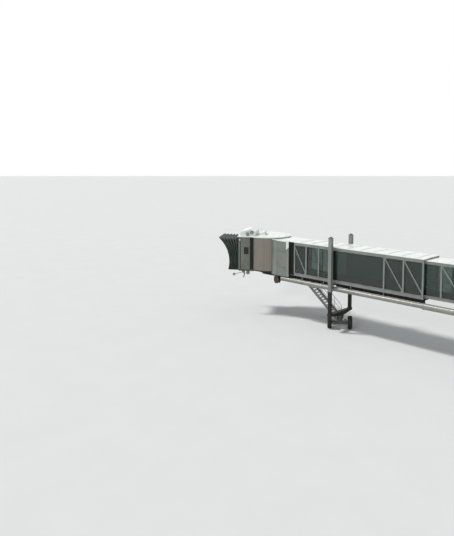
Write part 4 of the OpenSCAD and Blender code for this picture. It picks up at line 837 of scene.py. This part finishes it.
class BRIDGE_OT_canopy(bpy.types.Operator):
    """Pleated cloth canopy between the cab and the fuselage, its front pad and hoops"""

    bl_idname = "bridge.canopy"
    bl_label = "Canopy"

    def arch(self, inset, low):
        """Path over the opening from one foot to the other: legs, quarter circles and the roof's line, as
        points (side, height) with the outward direction at each. Inset is its distance inside the cloth's."""
        half, top, r = CANOPY_HALF - inset, CANOPY_TOP - inset, 0.22 - min(inset, 0.1)
        t = np.linspace(0, math.pi / 2, 9)
        leg = np.linspace(low, top - r, 30)[:-1]
        near = np.stack([np.full(len(leg), half), leg], 1)
        bend = np.stack([half - r + r * np.cos(t), top - r + r * np.sin(t)], 1)
        roof = np.stack([np.linspace(half - r, -half + r, 34)[1:-1], np.full(32, top)], 1)
        path = np.concatenate([near, bend, roof, (bend * [-1, 1])[::-1], (near * [-1, 1])[::-1]])
        step = np.gradient(path, axis=0)
        step /= np.linalg.norm(step, axis=1, keepdims=True)
        return path, np.stack([step[:, 1], -step[:, 0]], 1)

    def front(self, z, gap):
        """Distance ahead of the cab's pivot of a circle about the fuselage's, that gap outside it, at a height."""
        return FUSELAGE[0] - np.sqrt((FUSELAGE_R + gap) ** 2 - (z - FUSELAGE[1]) ** 2)

    def bolster(self):
        """Front pad: a crowned bolster round the arch, pinched at a sewn channel every 0.3 m.
        Its section is a superellipse of power 0.75, PAD thick and 0.27 m deep."""
        rows, steps = 441, 20
        path, out = self.arch(0.012, 4.33)
        run = np.concatenate([[0], np.cumsum(np.linalg.norm(np.diff(path, axis=0), axis=1))])
        fine = np.linspace(0, run[-1], rows)
        path, out = (np.stack([np.interp(fine, run, v[:, k]) for k in (0, 1)], 1) for v in (path, out))
        out /= np.linalg.norm(out, axis=1, keepdims=True)
        channel = 1 - 0.2 * np.exp(-((fine / 0.3 - np.round(fine / 0.3)) * 0.3 / 0.016) ** 2)
        foot = np.minimum(1, np.minimum(fine, run[-1] - fine) / 0.05) ** 0.5
        t = np.arange(steps) * 2 * math.pi / steps
        flat, deep = (np.sign(v) * np.abs(v) ** 0.75 for v in (np.sin(t), np.cos(t)))
        thick = (channel * foot)[:, None] * (PAD / 2 - 0.004) * flat[None]
        inset = 0.135 * (1 - deep)[None]
        b = path[:, :1] - inset * out[:, :1]
        z = np.maximum(4.312, path[:, 1:] - inset * out[:, 1:])
        last = (rows - 1) * steps
        faces = sheet_faces(rows, steps, True)
        faces += [list(range(steps))[::-1], list(range(last, last + steps))]
        return cab_at(self.front(z, PAD / 2) + thick, b, z).reshape(-1, 3), faces

    def execute(self, context):
        """The cloth is the arch carried from the cab's face to the pad's back. It goes in by
        depth * (1 - triangle wave) of the share of the way, so that each pleat has a crest and a valley."""
        pleats = context.scene.bridge_sizes.pleats
        path, out = self.arch(0.0, 4.31)
        rows = pleats * 6
        v = np.linspace(0, 1, rows + 1)
        wave = np.abs(((v * pleats) % 1) * 2 - 1)
        start, end = 2.7505, self.front(path[:, 1], PAD) - 0.002
        ahead = start + (end - start)[None] * v[:, None]
        # The cloth sags a little between crests near the middle of the roof
        sag = 0.02 * np.sin(math.pi * v)[:, None] * np.maximum(0, out[:, 1])[None]
        off = -0.15 * (1 - wave)[:, None] - sag
        points = cab_at(ahead, path[:, 0] + off * out[:, 0], path[:, 1] + off * out[:, 1]).reshape(-1, 3)
        blend = ("cab", "canopy", cab_at(2.76, 0, 6.0), cab_at(3.58, 0, 6.0))
        cloth = piece("canopy_cloth", (points, sheet_faces(rows + 1, len(path))), "canopy_cloth",
                      smooth=60, blend=blend, replaces="canopy_folds")
        # The attribute that the cloth's material reads for its painted highlight: 1 on the crests, falling off steeply
        crest = cloth.data.attributes.new("crest", "FLOAT", "POINT")
        crest.data.foreach_set("value", np.repeat(wave ** 6, len(path)).astype(np.float32))
        hung(cloth)
        pad = piece("canopy_bolster", self.bolster(), "pad_cloth", "canopy", smooth=60,
                    replaces="canopy_pad")
        recalculated(pad)
        # Hoops: flat bars inside two crests that hold the folds
        ring = np.array([(-0.015, 0), (0.015, 0), (0.015, -0.03), (-0.015, -0.03)])
        for name, part in (("canopy_hoop_rear", 1 / 3), ("canopy_hoop_front", 2 / 3)):
            path, out = self.arch(0.03, 4.36)
            ahead = start + (self.front(path[:, 1], PAD) - start) * part
            points = cab_at(ahead[:, None] + ring[None, :, 0], path[:, :1] + ring[None, :, 1] * out[:, :1],
                            path[:, 1:] + ring[None, :, 1] * out[:, 1:]).reshape(-1, 3)
            last = 4 * len(path) - 4
            faces = sheet_faces(len(path), 4, True) + [[3, 2, 1, 0], [last, last + 1, last + 2, last + 3]]
            recalculated(piece(name, (points, faces), "zinc_steel", smooth=40, blend=blend))
        return {"FINISHED"}


class BRIDGE_OT_seal(bpy.types.Operator):
    """Folded cloth seal between the swing frame and the inner tunnel"""

    bl_idname = "bridge.seal"
    bl_label = "Tunnel seal"

    def execute(self, context):
        """A rectangle path round the doorway, open at the sill, swept along X. The cloth stands out by a
        triangle wave of the share of the way."""
        folds = context.scene.bridge_sizes.seal_folds
        low, top, half = 4.625, 7.36, 1.085
        side = np.stack([np.full(14, half), np.linspace(low, top, 14)], 1)
        over = np.stack([np.linspace(half, -half, 20)[1:-1], np.full(18, top)], 1)
        path = np.concatenate([side, over, (side * [-1, 1])[::-1]])
        out = np.where(np.abs(path[:, :1]) >= half - 1e-6, np.sign(path[:, :1]) * [[1.0, 0.0]], [[0.0, 1.0]])
        rows = folds * 4
        v = np.linspace(0, 1, rows + 1)[:, None]
        off = -0.07 * (1 - np.abs(((v * folds) % 1) * 2 - 1))
        points = at(-2.2515 - v * 0.197, path[:, 0] + off * out[:, 0], path[:, 1] + off * out[:, 1])
        cloth = piece("seal_cloth", (points.reshape(-1, 3), sheet_faces(rows + 1, len(path))), "seal_cloth",
                      smooth=70, blend=("swing", "inner_tunnel", (-2.26, 0, 6), (-2.44, 0, 6)),
                      replaces="tunnel_seal")
        hung(cloth)
        return {"FINISHED"}


class BRIDGE_OT_box_trim(bpy.types.Operator):
    """Panel joints, edge post and white flashing of the closed box, and the service door's fittings"""

    bl_idname = "bridge.box_trim"
    bl_label = "Closed box trim"

    def execute(self, context):
        right = BOX_RIGHT
        # Panel joints: dark sealant in shallow V strips round both walls
        joint = [(-0.011, 0), (0.011, 0), (0.007, 0.003), (0, 0.0012), (-0.007, 0.003)]
        levels = np.array([6.46, 4.96])
        near = carried(joint, at(right - 0.002, -WALL, levels), at(-26.835, -WALL, levels), NEAR)
        upright = carried(joint, (-25.745, -WALL, BOX_FOOT), (-25.745, -WALL, BOX_HEAD), NEAR)
        far = carried(joint, at([right - 0.002, -27.05], WALL, 6.6), at([-27.05, -27.5], WALL, 6.6), FAR)
        piece("box_joints", joined([near, upright, far]), "gasket_rubber", "outer_tunnel")
        # Edge post: a pressed sheet with folded lips beside the end frame
        post = [(-0.15, 0), (0.15, 0), (0.15, 0.008), (0.138, 0.012), (0.02, 0.012), (0.012, 0.006), (-0.012, 0.006),
                (-0.02, 0.012), (-0.138, 0.012), (-0.15, 0.008)]
        x = right - 0.155
        piece("box_edge_posts", mirrored(carried(post, (x, -WALL, 4.105), (x, -WALL, 7.475), NEAR)),
              "box_edge_panel", "outer_tunnel")
        # White flashing that comes down from the roof's edge with a slanted foot
        shape = np.array([(0, 7.475), (-0.32, 7.475), (-0.32, 6.74), (-0.26, 6.69), (0, 6.94)])
        flat = at(right + shape[:, 0], -1.3125, shape[:, 1])
        n = np.arange(5)
        faces = np.stack([5 + n, 5 + (n + 1) % 5, (n + 1) % 5, n], 1).tolist() + [n.tolist(), (5 + n[::-1]).tolist()]
        sheet = (np.concatenate([flat, flat - [0, 0.006, 0]]), faces)
        lip = carried([(-0.03, 0), (0.03, 0), (0.03, 0.010), (-0.03, 0.016)], (right - 0.33, -WALL, 7.445),
                      (-27.42, -WALL, 7.445), NEAR)
        piece("box_flashing", joined([mirrored(sheet), mirrored(lip)]), "white_trim", "outer_tunnel")
        # Door fittings on the far side: gaskets, hinges, lever handle, kick plate
        x0, x1, y = -26.98, -26.08, 1.2905
        line = strip(0.012, 0.009, 0.006)
        gasket = carried(line, [(x0 - 0.012, WALL, 4.42), (x1 + 0.012, WALL, 4.42), (x0 - 0.024, WALL, 6.462)],
                         [(x0 - 0.012, WALL, 6.45), (x1 + 0.012, WALL, 6.45), (x1 + 0.024, WALL, 6.462)], FAR)
        x, z, side, half = -26.53, 5.9, 0.152, 0.302
        starts = at([x - side, x + side, x - side, x - side], y, [z - 0.3, z - 0.3, z - half, z + half])
        ends = at([x - side, x + side, x + side, x + side], y, [z + 0.3, z + 0.3, z - half, z + half])
        pane = carried(line, starts, ends, FAR)
        piece("door_gaskets", joined([gasket, pane]), "gasket_rubber", "outer_tunnel")
        hinges = turned([(0.001, -0.07), (0.012, -0.07), (0.012, 0.07), (0.001, 0.07)],
                        at(x0 + 0.01, y + 0.012, [4.7, 5.45, 6.2]), UP, 16)
        grip = x1 - 0.08
        plate = carried(rounded(0.05, 0.006, 0.002), (grip, y + 0.002, 5.3), (grip, y + 0.002, 5.52), FAR)
        bend = at([grip, grip, x1 - 0.1, x1 - 0.21], [y, y + 0.05, y + 0.062, y + 0.062], 5.44)
        t = np.linspace(0, 3, 13)
        lever = tube(np.stack([np.interp(t, np.arange(4), bend[:, k]) for k in range(3)], 1), 0.009, 10)
        kick = carried(strip(0.36, 0.357, 0.002), (x, y, 4.45), (x, y, 4.72), FAR)
        piece("door_fittings", joined([hinges, plate, lever, kick]), "zinc_steel", "outer_tunnel", smooth=40)
        return {"FINISHED"}


class BRIDGE_OT_cab_trim(bpy.types.Operator):
    """Brush strips, dark liners that paint the shade of the recesses beside the curtains, window gaskets, edge strips
    and lamp lenses of the cab
    """

    bl_idname = "bridge.cab_trim"
    bl_label = "Cab trim"

    def execute(self, context):
        # Brush rings: behind the slats' head, from wall to wall, where the black band left above the slats is also
        # painted shade of the roof's overhang, and round the floor's edge
        t = np.linspace(math.radians(56), math.radians(304), 97) + math.pi + CAB_TURN
        for name, corners in (("curtain_head_brush_and_shade", ((1.99, 7.49), (2.036, 7.49), (2.036, 7.599), (1.99, 7.599))),
                              ("floor_brush", ((1.905, 4.372), (1.99, 4.378), (1.99, 4.396), (1.905, 4.398)))):
            piece(name, swept_band(PIVOT, t, corners), "black_rubber", "cab")
        # Black ribbed liner beside the curtain on each side wall, a dark sheet of painted shade for the recess there:
        # thirteen upright ribs between 1.282 and 1.628 m ahead
        middle, half = 1.455, 0.173
        ribs = zip(np.linspace(-half, half, 27), np.where(np.arange(27) % 2, 0.011, 0.003))
        shade_liner = [(-half, 0.0), *ribs, (half, 0.0)]
        frame_edge = [(-0.045, 0), (0.045, 0), (0.045, 0.012), (0.03, 0.018), (-0.03, 0.018), (-0.045, 0.012)]
        slim_edge = np.array(frame_edge) * [0.45, 0.5]
        x0, x1, z0, z1 = 1.78, 2.2, 5.94, 6.59
        lamp_shapes, marks, ways = [], [], []
        shade_liners_and_joints, strips, panes, drips = [], [], [], []
        for s in (1, -1):
            way = cab_at(0, s, 0) - cab_at(0, 0, 0)

            def bar(outline, ahead, low, high, stand=CAB_HALF, end=None):
                """An outline on the side wall, from one height or place ahead to another."""
                return carried(outline, cab_at(ahead, s * stand, low),
                               cab_at(ahead if end is None else end, s * stand, high), way)

            # The painted-shade liner, and the dark joint that runs between the front frame and the side wall
            shade_liners_and_joints += [bar(shade_liner, middle, 4.43, 7.57, CAB_HALF + 0.0005),
                       bar(strip(0.035, 0.03, 0.004), 2.575, 4.41, 7.19, CAB_HALF + 0.0003)]
            # Edge strips in pale metal beside the canopy, slim drip edges and the window's gasket
            strips += [bar(frame_edge, 2.70, 4.405, 7.195), bar(slim_edge, 2.43, 4.405, 7.59)]
            drips.append(bar([(-0.012, 0), (0.012, 0), (0.010, 0.03), (-0.012, 0.034)], 1.66, 7.56, 7.56, end=2.6))
            corners = cab_at([x0, x1, x1, x0], s * (CAB_HALF + 0.0155), [z0, z0, z1, z1])
            panes.append(carried([(-0.014, 0), (0.014, 0), (0.014, 0.006), (-0.014, 0.010)], corners,
                                 np.roll(corners, -1, 0), way))
            lamp_shapes += [cab_at(x, s * 1.438, z) for x, z in ((1.9, 7.87), (1.48, 8.03))]
            marks.append(cab_at(2.625, s * (CAB_HALF + 0.079), 7.34))
            ways.append(way)
        piece("cab_recess_shade_and_joints", joined(shade_liners_and_joints), "black_rubber", "cab")
        piece("cab_edge_strips", joined(strips + drips), "grey_powder_coat", "cab")
        piece("cab_window_gaskets", joined(panes), "gasket_rubber", "cab")
        # Lenses: shallow domes set in the lamps' rims
        dome = np.array([(0.001, -0.012), (0.134, -0.012), (0.134, 0.0), (0.10, 0.007), (0.05, 0.014),
                         (0.001, 0.016)])
        piece("flood_lamp_lenses", turned(dome, lamp_shapes, np.repeat(ways, 2, 0), 32), "lamp_glass", "cab",
              smooth=40)
        piece("marker_lamp_lenses", turned(dome * [0.73, 1.2], marks, ways, 32), "white_trim", "cab", smooth=40)
        rim = turned([(0.099, -0.012), (0.135, -0.012), (0.130, 0.012), (0.099, 0.018)], marks, ways, 32, True)
        piece("marker_lamp_rims", rim, "black_paint_and_recess_shade", "cab", smooth=40)
        # Bottom bar of the rolled-up shutter
        shutter = carried(rounded(0.036, 0.09, 0.012), cab_at(2.61, -1.19, 6.93), cab_at(2.61, 1.19, 6.93), UP)
        piece("shutter_bar", shutter, "slat_metal", "cab", smooth=40)
        return {"FINISHED"}


class BRIDGE_OT_lift_trim(bpy.types.Operator):
    """Bolts, covers and cooling fins of the lift columns and the cross beam"""

    bl_idname = "bridge.lift_trim"
    bl_label = "Lift trim"

    def on_column(self, xs, ys, z):
        """Points on the near column: a grid of offsets from its axis at one height."""
        return np.array([(-COLUMN + dx, -COLUMN_Y + dy, z) for dx in xs for dy in ys])

    def execute(self, context):
        face = -1.705
        rows = np.array([(-COLUMN + dx, face, z) for dx in (-0.13, 0.13) for z in np.arange(3.8, 8.3, 0.45)])
        rivets = turned([(0.001, 0), (0.011, 0), (0.008, 0.006), (0.001, 0.008)], rows, NEAR, 8)
        z = 3.75 + np.arange(4.0)
        cover = carried(strip(0.11, 0.105, 0.006), at(-COLUMN, face, z), at(-COLUMN, face, z + 0.86), NEAR)
        piece("column_covers", mirrored(joined([rivets, cover])), "grey_powder_coat", "outer_tunnel")
        foot = self.on_column((-0.18, -0.06, 0.06, 0.18), (-0.165, 0.165), 3.6)
        cap = self.on_column((-0.16, 0.16), (-0.145, 0.145), 8.37)
        flange = self.on_column((-0.145, 0, 0.145), (-0.12, 0.12), 1.625)
        parts = [bolts(foot, (0, 0, -1), 0.02), bolts(cap, UP, 0.022)]
        piece("column_bolts", mirrored(joined(parts)), "bolt_zinc", "outer_tunnel")
        piece("foot_flange_bolts", mirrored(bolts(flange, UP, 0.03)), "bolt_zinc", "carriage")
        # Screw drive's motor with cooling fins, on the gear case
        fins = turned([(0.05, 0), (0.112, 0), (0.112, 0.005), (0.05, 0.005)],
                      at(-COLUMN, -COLUMN_Y, 8.40 + np.arange(4) * 0.014), UP, 40, True)
        piece("gear_case_fins", mirrored(fins), "grey_powder_coat", "outer_tunnel")
        # Bolt row under the cross beam's slewing ring
        t = np.arange(16) * math.pi / 8
        ring = at(-COLUMN + 0.33 * np.cos(t), 0.33 * np.sin(t), 1.16)
        piece("slewing_ring_bolts", bolts(ring, (0, 0, -1), 0.022), "bolt_zinc", "bogie")
        return {"FINISHED"}


class BRIDGE_OT_wheel_trim(bpy.types.Operator):
    """Hub caps, wheel nuts, tread blocks and motor fins of the bogie"""

    bl_idname = "bridge.wheel_trim"
    bl_label = "Wheel trim"

    def execute(self, context):
        turn = math.radians(36)
        axle = np.array([math.cos(turn), math.sin(turn), 0])
        across = np.array([-math.sin(turn), math.cos(turn), 0])
        pivot = np.array([-COLUMN, 0, 0.58])

        def spokes(t):
            """Directions from the axle at angles from level."""
            return np.cos(t)[:, None] * across + np.sin(t)[:, None] * UP

        fins = []
        for name, s in (("left", -1), ("right", 1)):
            hub = pivot + s * 0.9 * axle
            cap = turned([(0.001, -0.03), (0.07, -0.03), (0.07, 0.0), (0.05, 0.016), (0.001, 0.02)],
                         hub + s * axle * 0.145, s * axle, 32)
            face = hub + 0.115 * spokes(np.arange(10) * math.pi / 5)
            nuts = joined([bolts(face + d * axle * 0.0905, d * axle, 0.022) for d in (-1, 1)])
            piece(name + "_hub_nuts", joined([cap, nuts]), "bolt_zinc", name + "_wheel", smooth=40)
            # Tread blocks: low slanted ribs on both shoulders
            t = np.arange(36) * math.pi / 18
            block = [(-0.014, -0.004), (0.014, -0.004), (0.010, 0.0002), (-0.010, 0.0002)]
            ribs = [carried(block, hub + spokes(a) * 0.576 + d * axle * 0.03,
                            hub + spokes(a + 0.05) * 0.576 + d * axle * 0.125, spokes(a))
                    for d, a in ((-1, t), (1, t + math.pi / 36))]
            piece(name + "_tread", joined(ribs), "tyre_rubber", name + "_wheel")
            # Motor fins and end bell: rings round each drive motor
            foot = pivot + s * 0.51 * axle + [0, 0, 0.02] + s * 0.15 * across
            places = foot + s * across * (0.06 + 0.045 * np.arange(7))[:, None]
            fins.append(turned([(0.108, -0.004), (0.128, -0.004), (0.128, 0.004), (0.108, 0.004)], places, s * across,
                               24, True))
            fins.append(turned([(0.001, -0.02), (0.105, -0.02), (0.105, 0.0), (0.07, 0.026), (0.001, 0.03)],
                               foot + s * across * 0.42, s * across, 32))
        piece("motor_fins", joined(fins), "bogie_paint", "bogie", smooth=30)
        return {"FINISHED"}


class BRIDGE_OT_stair_trim(bpy.types.Operator):
    """Nosings, tread bolts and landing grid of the service stair"""

    bl_idname = "bridge.stair_trim"
    bl_label = "Stair trim"

    def grid(self, start, end, low, high):
        """Low pressed bars across the landing's plate, 42 mm apart."""
        x = np.arange(start, end, 0.042)
        return boxes(at(x, low, FLOOR), at(x + 0.004, high, FLOOR + 0.004))

    def execute(self, context):
        risers, going, head = 22, 0.243, 27.25
        i = np.arange(1, risers)
        d, z = head - i * going, FLOOR - i * FLOOR / risers
        nose = at(-d, 2.005, z)

        def across(outline, back):
            """An outline carried across every tread, that far behind its edge."""
            return carried(outline, nose - [back, 0, 0], nose - [back, -0.79, 0], UP)

        ribs = joined([across(strip(0.003, 0.002, 0.0022), 0.06 + 0.03 * k) for k in range(5)])
        piece("tread_nosings", joined([across(strip(0.016, 0.014, 0.003), 0.018), ribs]), "zinc_steel", "stair")
        points = np.concatenate([at(-(d + s), 1.95, z - 0.02) for s in (0.06, 0.17)])
        near, far = bolts(points, NEAR, 0.012), bolts(points + [0, 0.9, 0], FAR, 0.012)
        piece("tread_bolts", joined([near, far]), "bolt_zinc", "stair")
        piece("landing_grid", joined([self.grid(-28.33, -27.27, 2.06, 2.84), self.grid(-27.43, -26.05, 1.31, 1.88)]),
              "zinc_steel", "outer_tunnel")
        return {"FINISHED"}


class BRIDGE_OT_pipe_trim(bpy.types.Operator):
    """Jacket bands along the air pipe and its sleeve, and the end collar"""

    bl_idname = "bridge.pipe_trim"
    bl_label = "Pipe trim"

    def bands(self, r, start, end):
        """Bands 40 mm wide round the pipe, 1.24 m apart."""
        d = np.arange(start, end, 1.24)
        return turned([(r - 0.002, -0.02), (r + 0.006, -0.02), (r + 0.006, 0.02), (r - 0.002, 0.02)],
                      at(-d, PIPE_Y, PIPE_Z), ALONG, 48, True)

    def execute(self, context):
        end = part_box("outer_pipe")[0][0]
        r, s = PIPE_R, SLEEVE_R
        collar = turned([(r - 0.004, 0.0), (r + 0.022, 0.0), (r + 0.022, 0.03), (r + 0.008, 0.05), (r - 0.004, 0.05)],
                        (end + 0.001, PIPE_Y, PIPE_Z), ALONG, 48, True)
        piece("pipe_bands", joined([self.bands(r, MOUTH + 0.9, -end - 0.3), collar]), "pipe_strap", "outer_tunnel",
              smooth=30)
        piece("sleeve_bands", self.bands(s, 3.6, MOUTH - 0.3), "pipe_strap", "inner_tunnel", smooth=30)
        seal = turned([(r + 0.004, -0.01), (s + 0.012, -0.01), (s + 0.012, 0.012), (r + 0.004, 0.012)],
                      (-MOUTH - 0.004, PIPE_Y, PIPE_Z), ALONG, 48, True)
        piece("sleeve_seal", seal, "black_rubber", "inner_tunnel", smooth=30)
        return {"FINISHED"}


class BRIDGE_OT_rotunda_trim(bpy.types.Operator):
    """Anchor nuts, panel joints and the curtains' upper brush ring of the rotunda"""

    bl_idname = "bridge.rotunda_trim"
    bl_label = "Rotunda trim"

    def execute(self, context):
        t = np.arange(12) * math.pi / 6
        ring = at(0.78 * np.cos(t), 0.78 * np.sin(t), 0.04)
        stud = turned(pin(0.021, 0.10, 0.017, 0.004), ring, UP, 16)
        nuts = turned(pin(0.038, 0.03, 0.033, 0.004), ring + [0, 0, 0.006], UP, 6)
        disc = turned(pin(0.05, 0.006), ring, UP, 24)
        piece("anchor_nuts", joined([stud, nuts, disc]), "bolt_zinc", "pedestal")
        # Panel joints on the terminal portal and on the swing frame
        levels = np.array([5.6, 6.6])
        for name, start, end, body in (("portal_joints", 1.45, 2.38, "pedestal"),
                                       ("swing_joints", -2.44, -1.45, "swing")):
            walls = carried(strip(0.008, 0.005, 0.003), at(start, -WALL, levels), at(end, -WALL, levels), NEAR)
            piece(name, mirrored(walls), "gasket_rubber", body)
        brush = turned([(1.82, 7.50), (1.866, 7.50), (1.866, 7.539), (1.82, 7.539)], (0, 0, 0), UP, 96, True)
        piece("rotunda_brush", brush, "black_rubber", "pedestal")
        return {"FINISHED"}


class BRIDGE_OT_interior(bpy.types.Operator):
    """Ceiling panels and light strips, skirtings and mats inside the inner tunnel and the closed box"""

    bl_idname = "bridge.interior"
    bl_label = "Interior"

    def execute(self, context):
        # Ceiling trays between the inner tunnel's ends, with a light strip down the middle
        d = np.linspace(INNER_START + 0.1, INNER_END - 0.1, 13)
        gap, ceiling = 0.012, 7.379
        tray = np.array([(-0.92, 0), (-0.90, -0.02), (-0.16, -0.02), (-0.14, -0.008), (0.14, -0.008), (0.16, -0.02),
                         (0.90, -0.02), (0.92, 0)])
        starts, ends = at(-d[:-1] - gap, 0, ceiling), at(-d[1:] + gap, 0, ceiling)
        piece("inner_ceiling", carried(tray, starts, ends, UP), "lining", "inner_tunnel")
        lens = [(-0.12, 0), (-0.10, -0.012), (0.10, -0.012), (0.12, 0)]
        mid = (starts + ends) / 2 - [0, 0, 0.009]
        piece("inner_lights", carried(lens, mid + [0.45, 0, 0], mid - [0.45, 0, 0], UP), "light_diffuser",
              "inner_tunnel")
        sides = np.array([-0.6, 0.6])
        piece("box_lights", carried(lens, at(-25.9, sides, 7.479), at(-27.0, sides, 7.479), UP), "light_diffuser",
              "outer_tunnel")
        # Skirtings along the floors: a coved strip at each foot of the glass
        cove = [(0, 0), (0.05, 0), (0.02, 0.02), (0.012, 0.10), (0, 0.11)]
        for tunnel, y, z, start, end in (("inner", 1.0, 4.591, INNER_START + 0.02, INNER_END),
                                         ("outer", 1.195, FLOOR + 0.001, INNER_END + 0.2, OUTER_END)):
            points, faces = carried(cove, (-end, -y, z), (-start, -y, z), UP)
            points[:, 1] = -2 * y - points[:, 1]
            piece(tunnel + "_skirting", mirrored((points, [f[::-1] for f in faces])), "lining", tunnel + "_tunnel")
        # Entrance mat in the rotunda
        mat = turned([(0.001, 4.6005), (1.25, 4.6005), (1.25, 4.606), (1.235, 4.612), (0.001, 4.612)], (0, 0, 0), UP,
                     64)
        piece("rotunda_mat", mat, "deck_rubber", "pedestal")
        return {"FINISHED"}


class BRIDGE_PT_panel(bpy.types.Panel):
    """Lists the pieces of the bridge and their settings"""

    bl_label = "Boarding bridge"
    bl_idname = "BRIDGE_PT_panel"
    bl_space_type = "VIEW_3D"
    bl_region_type = "UI"
    bl_category = "Bridge"

    def draw(self, context):
        for group in (context.scene.bridge_sizes, context.scene.bridge_colours):
            for name in group.__annotations__:
                self.layout.prop(group, name)
        for operator in OPERATORS:
            self.layout.operator(operator.bl_idname)


OPERATORS = (BRIDGE_OT_stage, BRIDGE_OT_finishes, BRIDGE_OT_glazing, BRIDGE_OT_tunnel_trim, BRIDGE_OT_roofing,
             BRIDGE_OT_curtains, BRIDGE_OT_canopy, BRIDGE_OT_seal, BRIDGE_OT_box_trim, BRIDGE_OT_cab_trim,
             BRIDGE_OT_lift_trim, BRIDGE_OT_wheel_trim, BRIDGE_OT_stair_trim, BRIDGE_OT_pipe_trim,
             BRIDGE_OT_rotunda_trim, BRIDGE_OT_interior)
CLASSES = (BridgeColours, BridgeSizes, *OPERATORS, BRIDGE_PT_panel)


def register():
    for cls in CLASSES:
        bpy.utils.register_class(cls)
    bpy.types.Scene.bridge_colours = bpy.props.PointerProperty(type=BridgeColours)
    bpy.types.Scene.bridge_sizes = bpy.props.PointerProperty(type=BridgeSizes)


def unregister():
    del bpy.types.Scene.bridge_sizes
    del bpy.types.Scene.bridge_colours
    for cls in reversed(CLASSES):
        bpy.utils.unregister_class(cls)


def main():
    register()
    for operator in OPERATORS:
        group, name = operator.bl_idname.split(".")
        getattr(getattr(bpy.ops, group), name)()


if __name__ == "__main__":
    main()
